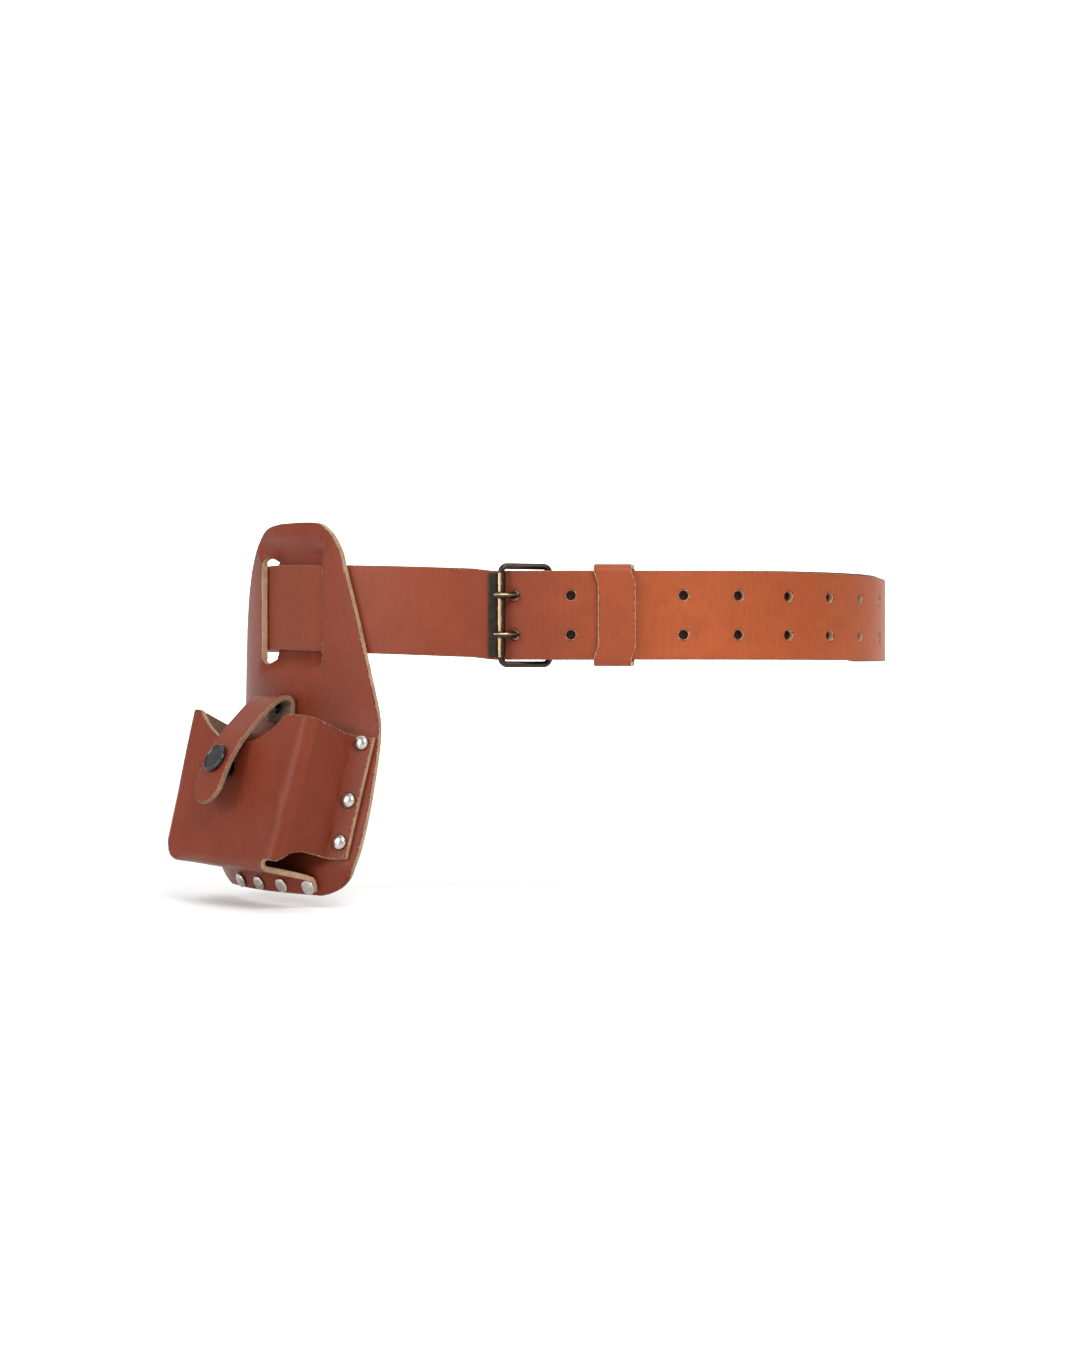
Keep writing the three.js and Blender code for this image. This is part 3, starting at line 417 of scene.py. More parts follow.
def grain_leather(name, color, light=1.5, dark=0.6, rough=0.42, edge=0.6, rim_width=1.3, bump=0.16, tail=None,
                  gloss=0.24):
    """The dyed and waxed grain side; tail is the colour towards the belt's tip."""
    material, n, shader = started(name)
    at = n.add("ShaderNodeUVMap", uv_map="pattern").outputs[0]
    rim = n.add("ShaderNodeAttribute", attribute_name="rim").outputs["Fac"]
    grain = use(n, grain_group(), {"Vector": at, "Scale": 720.0})
    dye = use(n, cloud_group(), {"Vector": at})
    worn = use(n, rim_group(), {"Vector": at, "Distance": rim, "Width": rim_width})
    base = n.mix(dye["Tone"], rgba(color, dark), rgba(color, light))
    if tail:
        # the grain turns lighter and redder towards the tip
        along = n.add("ShaderNodeSeparateXYZ", {"Vector": at}).outputs["X"]
        towards_tip = n.remap(along, (LEG_START["outer_front"] - 30) * MM, (LEG_START["outer_bend"] + 30) * MM)
        base = n.mix(towards_tip, base, n.mix(dye["Tone"], rgba(tail, dark), rgba(tail, light)))
        # painted shade: near-black spots on the inner layer under the tail's holes
        base = n.mix(n.math("MULTIPLY", painted_hole_shade(n, at), 0.95), base, (0.006, 0.004, 0.004, 1))
    base = n.mix(n.math("MULTIPLY", grain["Creases"], 0.12), base, rgba(color, 0.6))
    speckle = n.remap(n.noise(at, 1500, 2, 0.6), 0.54, 0.72)
    base = n.mix(n.math("MULTIPLY", speckle, 0.3), base, rgba(color, 1.9))
    base = n.mix(n.math("MULTIPLY", grain["Pits"], 0.3), base, rgba(color, 0.35))
    base = n.mix(n.math("MULTIPLY", worn["Line"], edge), base, rgba(color, 0.3))
    base = n.mix(n.math("MULTIPLY", worn["Chips"], 0.55), base, (0.62, 0.36, 0.2, 1))
    n.put(shader.inputs["Base Color"], base)
    roughness = n.math("ADD", n.math("MULTIPLY", dye["Specks"], 0.2), rough - 0.1)
    n.put(shader.inputs["Roughness"], n.math("ADD", roughness, n.math("MULTIPLY", grain["Pits"], 0.15)))
    shader.inputs["Specular IOR Level"].default_value = gloss
    raised = n.add("ShaderNodeBump", {"Strength": bump * 2, "Distance": 0.00025, "Height": grain["Height"]})
    n.put(shader.inputs["Normal"], raised.outputs[0])
    return material


def cut_leather(name, color, dark=0.55):
    """Raw fibres of a cut edge."""
    material, n, shader = started(name)
    at = n.add("ShaderNodeTexCoord").outputs["Object"]
    fibres = n.noise(at, 1500, 5, 0.7)
    patches = n.noise(at, 160, 3, 0.6)
    mixed = n.math("ADD", n.math("MULTIPLY", fibres, 0.65), n.math("MULTIPLY", patches, 0.35))
    tone = n.remap(mixed, 0.35, 0.62)
    n.put(shader.inputs["Base Color"], n.mix(tone, rgba(color, dark), rgba(color, 1.15)))
    shader.inputs["Roughness"].default_value = 0.85
    shader.inputs["Specular IOR Level"].default_value = 0.25
    raised = n.add("ShaderNodeBump", {"Strength": 0.6, "Distance": 0.0003, "Height": fibres})
    n.put(shader.inputs["Normal"], raised.outputs[0])
    return material


def suede(name, color):
    """The napped flesh side."""
    material, n, shader = started(name)
    at = n.add("ShaderNodeUVMap", uv_map="pattern").outputs[0]
    nap = n.noise(at, 800, 5, 0.75)
    blotch = n.noise(at, 45, 3, 0.6)
    tone = n.remap(n.math("ADD", n.math("MULTIPLY", nap, 0.7), n.math("MULTIPLY", blotch, 0.3)), 0.35, 0.65)
    n.put(shader.inputs["Base Color"], n.mix(tone, rgba(color, 0.6), rgba(color, 1.35)))
    shader.inputs["Roughness"].default_value = 0.95
    shader.inputs["Specular IOR Level"].default_value = 0.15
    shader.inputs["Sheen Weight"].default_value = 0.25
    raised = n.add("ShaderNodeBump", {"Strength": 0.7, "Distance": 0.0004, "Height": nap})
    n.put(shader.inputs["Normal"], raised.outputs[0])
    return material


def plated(name, color, rough=0.22, metallic=1.0, brass=None, ridge=None):
    """Plated or enamelled metal with fine wear.

    A ridge (axis, place, half width, front) is a line rubbed down to the brass, ahead of a depth.
    """
    material, n, shader = started(name)
    at = n.add("ShaderNodeTexCoord").outputs["Object"]
    marks = use(n, scratch_group(), {"Vector": at})
    base = n.mix(n.remap(marks["Spots"], 0.4, 0.62), rgba(color, 0.8), rgba(color, 1.08))
    if ridge:
        axis, place, wide, front = ridge
        parts = n.add("ShaderNodeSeparateXYZ", {"Vector": at}).outputs
        away = n.math("ABSOLUTE", n.math("SUBTRACT", parts[axis], place * MM))
        ragged = n.math("MULTIPLY", n.math("ADD", n.math("MULTIPLY", marks["Spots"], 1.9), 0.05), wide * MM)
        line = n.remap(n.math("DIVIDE", away, ragged), 0.75, 1.15, 1.0, 0.0)
        lit_front = n.math("LESS_THAN", parts["Y"], front * MM)
        line = n.math("MULTIPLY", line, lit_front)
        # painted highlight mixed with real wear: a brass-coloured line along the front of the bar, where the
        # light catches
        base = n.mix(n.math("MULTIPLY", line, 0.95), base, rgba(brass))
    n.put(shader.inputs["Base Color"], base)
    shader.inputs["Metallic"].default_value = metallic
    n.put(shader.inputs["Roughness"], n.math("ADD", rough, n.math("ADD", n.math(
        "MULTIPLY", marks["Scratches"], 0.1), n.math("MULTIPLY", marks["Spots"], 0.12))))
    raised = n.add("ShaderNodeBump", {"Strength": 0.12, "Distance": 0.0001, "Height": marks["Scratches"]})
    n.put(shader.inputs["Normal"], raised.outputs[0])
    return material


def finish_of(name):
    """Materials, made on first use."""
    if name in bpy.data.materials:
        return bpy.data.materials[name]
    belt, pouch, metal = settings().belt_settings, settings().pouch_settings, settings().metal_settings
    makers = {
        "belt grain": lambda: grain_leather(name, belt.color, light=1.12, dark=0.88, rough=0.42, edge=0.3,
                                            tail=belt.tail_color, gloss=0.2),
        "belt edge": lambda: cut_leather(name, (0.23, 0.08, 0.033)),
        "hole wall": lambda: cut_leather(name, (0.42, 0.26, 0.15)),
        "keeper grain": lambda: grain_leather(name, belt.keeper_color, light=1.12, dark=0.86, rough=0.42,
                                              edge=0.4),
        "keeper edge": lambda: cut_leather(name, (0.62, 0.46, 0.3)),
        "pouch grain": lambda: grain_leather(name, pouch.color, light=1.14, dark=0.87, rough=0.4,
                                             edge=0.4, gloss=0.2),
        "pouch edge": lambda: cut_leather(name, pouch.edge),
        "strap edge": lambda: cut_leather(name, (0.26, 0.14, 0.085)),
        "flesh": lambda: suede(name, (0.2, 0.125, 0.085)),
        "nickel": lambda: plated(name, metal.nickel, 0.2),
        "bronze": lambda: plated(name, metal.bronze, 0.3),
        # roller and prongs carry brass lines, partly rubbed metal and partly painted highlight
        "roller bronze": lambda: plated(name, metal.bronze, 0.3, brass=metal.brass,
                                        ridge=("X", FRONT_BAR_X - 0.75, 0.85, FRONT_BAR_Y - ROLLER_R * 0.6)),
        "upper prong bronze": lambda: plated(name, metal.bronze, 0.3, brass=metal.brass,
                                             ridge=("Z", HOLE_PAIR / 2 + 0.3, 0.42, INNER_Y - 4.4)),
        "lower prong bronze": lambda: plated(name, metal.bronze, 0.3, brass=metal.brass,
                                             ridge=("Z", -HOLE_PAIR / 2 + 0.3, 0.42, INNER_Y - 4.4)),
        "black enamel": lambda: plated(name, (0.006, 0.006, 0.007), 0.05, metallic=0.0),
    }
    return makers[name]()


# ---- building pieces ----
def finished(bm, name, body, nodes, materials, weighted=True):
    """Makes the object, gives it its materials, and fixes it to its body."""
    mesh = bpy.data.meshes.new(name)
    bmesh.ops.recalc_face_normals(bm, faces=bm.faces[:])
    for face in bm.faces:
        face.smooth = True
    bm.to_mesh(mesh)
    bm.free()
    piece = bpy.data.objects.new(name, mesh)
    bpy.context.scene.collection.objects.link(piece)
    for material in materials:
        mesh.materials.append(finish_of(material))
    if weighted:
        even = piece.modifiers.new("even shading", "WEIGHTED_NORMAL")
        even.keep_sharp = True
        even.weight = 60
    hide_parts(*nodes)
    if body:
        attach(piece, body)
    return piece


def spot(point):
    return (round(point[0], 4), round(point[1], 4))


def sheet(outline, holes, steps, thick, mid, round_r=0.7, lines=(), shift=None, hole_slot=1):
    """A piece of leather: a flat pattern with rounded rims, bent by mid(u, v) -> point.

    Material slots: 0 grain side, 1 cut edge, 2 flesh side, and hole_slot for the walls of holes.
    """
    bm = bmesh.new()
    for loop in [finely(outline, max(steps) * 1.5)] + holes:
        verts = [bm.verts.new((u, v, 0)) for u, v in loop]
        for a, b in zip(verts, verts[1:] + verts[:1]):
            bm.edges.new((a, b))
    hole_at = KDTree(max(1, sum(len(h) for h in holes)))
    for i, (u, v) in enumerate(p for h in holes for p in h):
        hole_at.insert((u, v, 0), i)
    hole_at.balance()
    bmesh.ops.triangle_fill(bm, use_beauty=True, use_dissolve=False, edges=bm.edges[:])
    if sum(f.normal.z for f in bm.faces) < 0:
        bmesh.ops.reverse_faces(bm, faces=bm.faces[:])
    us = [v.co.x for v in bm.verts]
    vs = [v.co.y for v in bm.verts]
    cuts = []
    for axis, low, high, step in ((0, min(us), max(us), steps[0]), (1, min(vs), max(vs), steps[1])):
        count = max(1, round((high - low) / step))
        cuts += [(axis, lerp(low, high, i / count)) for i in range(1, count)]
    cuts += list(lines)
    for axis, place in cuts:
        at = Vector((place, 0, 0)) if axis == 0 else Vector((0, place, 0))
        across = Vector((1, 0, 0)) if axis == 0 else Vector((0, 1, 0))
        bmesh.ops.bisect_plane(bm, geom=bm.verts[:] + bm.edges[:] + bm.faces[:], dist=0.02,
                               plane_co=at, plane_no=across)
    bmesh.ops.remove_doubles(bm, verts=bm.verts[:], dist=0.01)

    rim_edges = [e for e in bm.edges if e.is_boundary]
    outward = {}
    for edge in rim_edges:
        loop = edge.link_loops[0]
        a, b = loop.vert.co, loop.link_loop_next.vert.co
        side = Vector((b.y - a.y, a.x - b.x, 0)).normalized()
        for vert in edge.verts:
            outward[vert] = outward.get(vert, Vector((0, 0, 0))) + side
    rim = {}
    half = thick / 2
    for vert, side in outward.items():
        wide = side.length / 2
        rim[vert] = (vert.co.copy(), side.normalized() / max(wide, 0.6))
    edge_at = KDTree(len(rim))
    for i, (start, _) in enumerate(rim.values()):
        edge_at.insert(start, i)
    edge_at.balance()
    top_faces = bm.faces[:]
    for vert in bm.verts:
        vert.co.z = half
    for vert, (start, side) in rim.items():
        vert.co = start - side * round_r + Vector((0, 0, half))
    copy = bmesh.ops.duplicate(bm, geom=bm.verts[:] + bm.edges[:] + top_faces)["geom"]
    low_faces = [f for f in copy if isinstance(f, bmesh.types.BMFace)]
    for vert in (v for v in copy if isinstance(v, bmesh.types.BMVert)):
        vert.co.z = -half
    bmesh.ops.reverse_faces(bm, faces=low_faces)
    for face in low_faces:
        face.material_index = 2
    ring = rim_edges
    profile = [(-0.29 * round_r, half - 0.29 * round_r, 0), (0, half - round_r, 1), (0, -half + round_r, 1),
               (-0.29 * round_r, -half + 0.29 * round_r, 1), (-round_r, -half, 1)]
    for out, height, slot in profile:
        before = {spot(v.co): data for v, data in rim.items()}
        made = bmesh.ops.extrude_edge_only(bm, edges=ring)["geom"]
        rim = {v: before[spot(v.co)] for v in made if isinstance(v, bmesh.types.BMVert)}
        ring = [e for e in made if isinstance(e, bmesh.types.BMEdge)]
        for vert, (start, side) in rim.items():
            vert.co = start + side * out + Vector((0, 0, height))
        for face in (f for f in made if isinstance(f, bmesh.types.BMFace)):
            near_hole = holes and hole_at.find((*face.calc_center_median().xy, 0))[2] < 1.5
            face.material_index = hole_slot if near_hole and slot else slot
    bmesh.ops.remove_doubles(bm, verts=bm.verts[:], dist=0.002)

    pattern = bm.loops.layers.uv.new("pattern")
    edge_distance = bm.verts.layers.float.new("rim")
    for vert in bm.verts:
        vert[edge_distance] = edge_at.find((vert.co.x, vert.co.y, 0))[2]
    for face in bm.faces:
        for loop in face.loops:
            loop[pattern].uv = (loop.vert.co.x * MM, loop.vert.co.y * MM)
    known = {}
    for vert in bm.verts:
        u, v, off = vert.co
        key = (round(u, 3), round(v, 3))
        if key not in known:
            e = 0.15
            point = mid(u, v)
            du = mid(u + e, v) - mid(u - e, v)
            dv = mid(u, v + e) - mid(u, v - e)
            known[key] = (point, du.cross(dv).normalized())
        point, normal = known[key]
        extra = shift(u, v, off, vert[edge_distance]) if shift else 0
        vert.co = (point + normal * (off + extra)) * MM
    return bm


def turned(profile, point, direction, sides, bm=None, slot=0):
    """A turned piece: profile is [(radius, height)], stood on a point along a direction."""
    bm = bm or bmesh.new()
    start = bm.verts[:]
    verts = [bm.verts.new((r, 0, h)) for r, h in profile]
    edges = [bm.edges.new(pair) for pair in zip(verts, verts[1:])]
    bmesh.ops.spin(bm, geom=verts + edges, cent=(0, 0, 0), axis=(0, 0, 1), angle=2 * math.pi, steps=sides,
                   use_merge=True, dvec=(0, 0, 0))
    fresh = [v for v in bm.verts if v not in set(start)]
    bmesh.ops.remove_doubles(bm, verts=fresh, dist=0.0005)
    fresh = [v for v in bm.verts if v not in set(start)]
    turn = Vector((0, 0, 1)).rotation_difference(direction).to_matrix().to_4x4()
    place = Matrix.Translation(point * MM) @ turn @ Matrix.Scale(MM, 4)
    bmesh.ops.transform(bm, matrix=place, verts=fresh)
    return bm


def tube(bm, route, radii, sides=20, closed=False):
    """A round or oval bar swept along a route of points; radii(t) -> (across, up)."""
    rings = []
    count = len(route)
    for i, point in enumerate(route):
        before = route[i - 1] if i or closed else point
        after = route[(i + 1) % count] if i < count - 1 or closed else point
        along = (after - before).normalized()
        up = UP if abs(along.z) < 0.9 else Vector((1, 0, 0))
        side = along.cross(up).normalized()
        other = side.cross(along)
        a, b = radii(i / (count - 1))
        made = bmesh.ops.create_circle(bm, cap_ends=False, radius=1, segments=sides)["verts"]
        for vert in made:
            vert.co = (point + side * (vert.co.x * a) + other * (vert.co.y * b)) * MM
        rings.append(made)
    for a, b in zip(rings, rings[1:] + (rings[:1] if closed else [])):
        edges = [e for ring in (a, b) for e in {e for v in ring for e in v.link_edges}
                 if all(v in ring for v in e.verts)]
        bmesh.ops.bridge_loops(bm, edges=edges)
    if not closed:
        for ring in (rings[0], rings[-1]):
            edges = list({e for v in ring for e in v.link_edges if all(w in ring for w in e.verts)})
            bmesh.ops.contextual_create(bm, geom=edges)
    return bm


# ---- the belt ----
FOLD_RISE = BAR_WRAP * (1 + math.cos(math.radians(FOLD_TURN))) - LAYER_PITCH
FOLD_SLOPE = ((FOLD_RISE - FOLD_BEND * (1 - math.cos(math.radians(FOLD_TURN))))
              / math.sin(math.radians(FOLD_TURN)))
FOLD_X = (BUCKLE_X + (BAR_WRAP + FOLD_BEND) * math.sin(math.radians(FOLD_TURN))
          + FOLD_SLOPE * math.cos(math.radians(FOLD_TURN)))
RAMP_RISE = LAYER_PITCH - 2 * RAMP_R * (1 - math.cos(math.radians(RAMP_TURN)))
RAMP_STRAIGHT = RAMP_RISE / math.sin(math.radians(RAMP_TURN))
RAMP_RUN = 2 * RAMP_R * math.sin(math.radians(RAMP_TURN)) + RAMP_STRAIGHT * math.cos(math.radians(RAMP_TURN))
BELT_LEGS = {
    "flap": (FOLD_FLAT, 0),
    "flap_bend": fan(FOLD_BEND, -FOLD_TURN),
    "flap_slope": (FOLD_SLOPE, 0),
    "bar_wrap": fan(BAR_WRAP, 180 + FOLD_TURN),
    "inner_front": (FRONT_HALF - BUCKLE_X, 0),
    "right_bend": fan(INNER_R, BEND_TURN),
    "right_back": fan(INNER_BACK_R, BACK_TURN),
    "back": (2 * FRONT_HALF + (INNER_R - INNER_BACK_R + BEND_R - LEFT_BACK_R) * TURN_SIN, 0),
    "left_back": fan(LEFT_BACK_R, BACK_TURN),
    "left_bend": fan(BEND_R, BEND_TURN),
    "left_front": (FRONT_HALF + RAMP_END - RAMP_RUN, 0),
    "ramp_in": fan(RAMP_R, -RAMP_TURN),
    "ramp": (RAMP_STRAIGHT, 0),
    "ramp_out": fan(RAMP_R, RAMP_TURN),
    "outer_front": (FRONT_HALF - RAMP_END, 0),
    "outer_bend": fan(BEND_R, BEND_TURN),
    "tip": (TIP_LENGTH, math.degrees(TIP_LENGTH / BACK_R)),
}
belt_line = walk(FOLD_X + FOLD_FLAT, INNER_Y + LAYER_PITCH, 180, list(BELT_LEGS.values()))
LEG_START = {}
BELT_LENGTH = 0.0
for leg_name, (leg_length, _) in BELT_LEGS.items():
    LEG_START[leg_name] = BELT_LENGTH
    BELT_LENGTH += leg_length
HOLE_START = LEG_START["outer_front"] - RAMP_END - HOLE_PITCH
CLIMB = [(LEG_START["inner_front"], 0), (LEG_START["right_bend"], 0.1), (LEG_START["right_back"], 2),
         (LEG_START["back"], 3.5), (LEG_START["left_back"], 5.5), (LEG_START["left_bend"], 6.4),
         (LEG_START["left_bend"] + 70, 6.4), (LEG_START["left_front"], 1.4), (LEG_START["ramp_in"] - 3, 0)]


def belt_point(u, v):
    x, y, _ = belt_line(u)
    return Vector((x, y, v + through(CLIMB, u)))


PRONG_ROOM = 2.1  # half width of the fold's openings


def belt_strap():
    belt = settings().belt_settings
    half = belt.width / MM / 2
    tip = []
    for i in range(13):
        before = math.sin(math.radians(90 * i / 12))
        squeeze = 1 - 0.45 * (1 - math.sqrt(1 - before * before * 0.98))
        tip.append((BELT_LENGTH - 16 * (1 - before), half * squeeze))
    outline = [(0, -half)] + [(u, -v) for u, v in tip] + [(u, v) for u, v in reversed(tip)] + [(0, half)]
    holes_at = [(HOLE_START + row * HOLE_PITCH, side * HOLE_PAIR / 2)
                for row in range(HOLE_ROWS) for side in (-1, 1)]
    holes = [round_hole(u, v, belt.hole / MM) for u, v in holes_at]
    # openings in the fold, where the prongs' rings go round the bar
    wrap_start = LEG_START["bar_wrap"] - 4
    wrap_end = LEG_START["inner_front"] + 7
    for side in (-1, 1):
        holes.append(rounded(wrap_start, side * HOLE_PAIR / 2 - PRONG_ROOM, wrap_end,
                             side * HOLE_PAIR / 2 + PRONG_ROOM, 1.5))

    def shift(u, v, off, edge):
        pressed = 0.0
        if off > 0:
            near = min(math.hypot(u - a, v - b) for a, b in holes_at)
            pressed = -0.3 * clamp(1 - (near - belt.hole / MM) / 1.6)
        wave = noise.noise(Vector((u * 0.02, v * 0.05, 3.1))) * 0.12
        return pressed + wave

    tight = [(0, LEG_START["bar_wrap"] + i * 0.8) for i in range(21)]
    tight += [(0, LEG_START["flap_bend"] + i * 0.7) for i in range(7)]
    bm = sheet(outline, holes, (4, 3.6), BELT_THICK, belt_point, 0.75, lines=tight, shift=shift, hole_slot=3)
    finished(bm, "belt_strap_leather", "belt", ["belt_strap"],
             ["belt grain", "belt edge", "flesh", "hole wall"])


def keeper():
    belt = settings().belt_settings
    thick, room, corner = 3.0, 0.6, 1.4
    front, back = -BEND_R - 2 - room, INNER_Y + 2 + room + 0.1
    half = belt.width / MM / 2 + room
    m = thick / 2
    bend, side = fan(corner + m, 90), (back - front - 2 * corner, 0)
    legs = [(half - corner, 0), bend, side, bend, (2 * (half - corner), 0), bend, side, bend,
            (half - corner, 0)]
    total = sum(length for length, _ in legs)
    # walked in the (Y, Z) plane from the middle of the front face, upwards; its ends meet at the back
    line = walk(0, front - m, 0, [(length, turn) for length, turn in legs])

    def mid(u, v):
        a, b, _ = line((v + total / 2) % total)
        # the band's front slants back a little at its top and bottom
        lean = -2.4 * smooth((abs(a) - half + 9) / 9) * smooth((back - b) / (back - front))
        return Vector((15 + u + lean, b, a))

    width = belt.keeper / MM
    bm = sheet([(0, 0), (width, 0), (width, total), (0, total)], [], (3, 1.2), thick, mid, 0.6)
    bmesh.ops.remove_doubles(bm, verts=bm.verts[:], dist=0.02 * MM)
    finished(bm, "keeper_band_leather", "keeper", ["keeper_loop"],
             ["keeper grain", "keeper edge", "flesh"])


# ---- the buckle ----
def buckle():
    bm = bmesh.new()
    corner = 3.6
    outline = rounded(-BUCKLE_LENGTH, -BUCKLE_HALF, 0, BUCKLE_HALF, corner, 8)
    cos, sin = math.cos(BUCKLE_TILT), math.sin(BUCKLE_TILT)
    route = [Vector((BUCKLE_X + u * cos, BAR_Y + u * sin, v)) for u, v in finely(outline, 3)]
    tube(bm, route, lambda t: (BAR_R * 0.99, BAR_R * 0.99), 24, closed=True)
    finished(bm, "buckle_frame_metal", "buckle", ["buckle_frame"], ["bronze"], False)


def roller():
    """Sheet metal rolled round the front bar, with its lip lying flat on the far side."""
    bm = bmesh.new()
    wall = ROLLER_R - ROLLER_BORE
    mid_r = ROLLER_R - wall / 2
    path = [Vector((math.cos(math.radians(a)), math.sin(math.radians(a)), 0)) * mid_r
            for a in range(-162, 91, 6)]
    path += [Vector((-ROLLER_LIP * k, mid_r - 0.06 * k, 0)) for k in (0.25, 0.5, 0.75, 1)]
    verts = [bm.verts.new((p.x, p.y, -ROLLER_LENGTH / 2)) for p in path]
    edges = [bm.edges.new(pair) for pair in zip(verts, verts[1:])]
    made = bmesh.ops.extrude_edge_only(bm, edges=edges)["geom"]
    top = [v for v in made if isinstance(v, bmesh.types.BMVert)]
    bmesh.ops.translate(bm, vec=(0, 0, ROLLER_LENGTH), verts=top)
    bmesh.ops.recalc_face_normals(bm, faces=bm.faces[:])
    bmesh.ops.solidify(bm, geom=bm.faces[:], thickness=wall)
    bmesh.ops.transform(bm, matrix=Matrix.Translation(Vector((FRONT_BAR_X, FRONT_BAR_Y, 0)) * MM)
                        @ Matrix.Scale(MM, 4), verts=bm.verts[:])
    finished(bm, "buckle_roller_metal", "roller", ["buckle_roller"], ["roller bronze"], True)


def spline(points, steps):
    """Smooth curve through points (centripetal), as a list of points."""
    ends = [points[0] * 2 - points[1]] + list(points) + [points[-1] * 2 - points[-2]]
    knots = [0.0]
    for a, b in zip(ends, ends[1:]):
        knots.append(knots[-1] + max(1e-4, (b - a).length) ** 0.5)
    out = []
    for i in range(1, len(ends) - 2):
        p0, p1, p2, p3 = ends[i - 1:i + 3]
        t0, t1, t2, t3 = knots[i - 1:i + 3]
        for k in range(steps):
            t = lerp(t1, t2, k / steps)
            a1 = p0 * ((t1 - t) / (t1 - t0)) + p1 * ((t - t0) / (t1 - t0))
            a2 = p1 * ((t2 - t) / (t2 - t1)) + p2 * ((t - t1) / (t2 - t1))
            a3 = p2 * ((t3 - t) / (t3 - t2)) + p3 * ((t - t2) / (t3 - t2))
            b1 = a1 * ((t2 - t) / (t2 - t0)) + a2 * ((t - t0) / (t2 - t0))
            b2 = a2 * ((t3 - t) / (t3 - t1)) + a3 * ((t - t1) / (t3 - t1))
            out.append(b1 * ((t2 - t) / (t2 - t1)) + b2 * ((t - t1) / (t2 - t1)))
    return out + [points[-1].copy()]


def prongs():
    hole_x, hole_y, heading = belt_line(HOLE_START)
    nx, ny = math.sin(heading), -math.cos(heading)
    over = FRONT_BAR_Y - ROLLER_R - CLEAR - PRONG_R
    for z, name in ((HOLE_PAIR / 2, "prong_upper"), (-HOLE_PAIR / 2, "prong_lower")):
        flat = [(BUCKLE_X - 3.2, BAR_Y - 0.2), (BUCKLE_X - 9, BAR_Y - 0.3), (BUCKLE_X - 14, BAR_Y - 0.5)]
        flat += [(hole_x + nx * k, hole_y + ny * k) for k in (-3.2, 0, 3.6)]
        flat += [(FRONT_BAR_X + 3.8, over + 0.5), (FRONT_BAR_X, over - 0.2), (FRONT_BAR_X - 3.4, over - 0.1)]
        route = spline([Vector((x, y, z)) for x, y in flat], 6)
        end = route[-1] - route[-2]
        route += [route[-1] + end.normalized() * k for k in (0.35, 0.5)]
        last = len(route) - 1

        def radii(t, last=last):
            left = last - t * last
            at_hole = math.exp(-((t - 0.59) / 0.05) ** 2)
            wide = 1 + (PRONG_SWELL - 1) * smooth((t - 0.35) / 0.2) + 0.3 * at_hole
            return (PRONG_R * wide * (0.72 if left < 0.5 else 0.93 if left < 1.5 else 1),) * 2

        bm = bmesh.new()
        tube(bm, route, radii, 18)
        eye = [(0, 0.3 - PRONG_R), (0.3, -PRONG_R), (1.2, -PRONG_R), (1.5, 0.4 - PRONG_R),
               (1.5, PRONG_R - 0.4), (1.2, PRONG_R), (0.3, PRONG_R), (0, PRONG_R - 0.3), (0, 0.3 - PRONG_R)]
        ring = [(ROLLER_BORE + out, height) for out, height in eye]
        turned(ring, Vector((BUCKLE_X, BAR_Y, z)), UP, 32, bm)
        finish = name.replace("prong_", "") + " prong bronze"
        finished(bm, f"{name}_metal", name, [name], [finish], False)


# ---- back plate ----
profile_line = walk(0, 0, 0, PLATE_LEGS)


def plate_at(s, w, off=0.0):
    x, y, heading = profile_line(w)
    yaw = math.radians(PLATE_YAW) - s / PLATE_R
    across = Vector((math.cos(yaw), -math.sin(yaw), 0))
    fall = PLATE_OUT * math.sin(heading) - UP * math.cos(heading)
    out = fall.cross(across).normalized()
    point = LEFT_CENTRE + Vector((-math.sin(yaw), -math.cos(yaw), 0)) * PLATE_R + PLATE_OUT * y
    point.z = PLATE_TOP - x
    return point + out * off, out


def weave(s, w):
    """How far the strip between the slots is pushed in behind the belt."""
    z = PLATE_TOP - w
    reach = abs(z - BELT_AT_PLATE) - 25 - 1.2
    fade = 0.5 + 0.5 * math.cos(math.pi * clamp(reach / 18))
    beyond = clamp((abs(z - SLOT_MID) - SLOT_LENGTH / 2 + 4) / 10)
    spread = SLOT_WIDTH + 16 * smooth(beyond)
    middle = 1 - smooth((abs(s) - (SLOT_S - spread / 2)) / spread)
    return -9.0 * middle * fade


def plate_outline():
    def rim(table):
        (_, top), (low, bottom) = table[0], table[-1]
        points = [(0, 0), (top * 0.5, 0)] + [(s, w) for w, s in table[1:]] + [(bottom * 0.5, low), (0, low)]
        return [(p.x, clamp(p.y, 0, low)) for p in spline([Vector((s, w, 0)) for s, w in points], 6)[1:-1]]

    return [(-s, -w) for s, w in rim(PLATE_FAR)] + [(s, -w) for s, w in reversed(rim(PLATE_NEAR))]


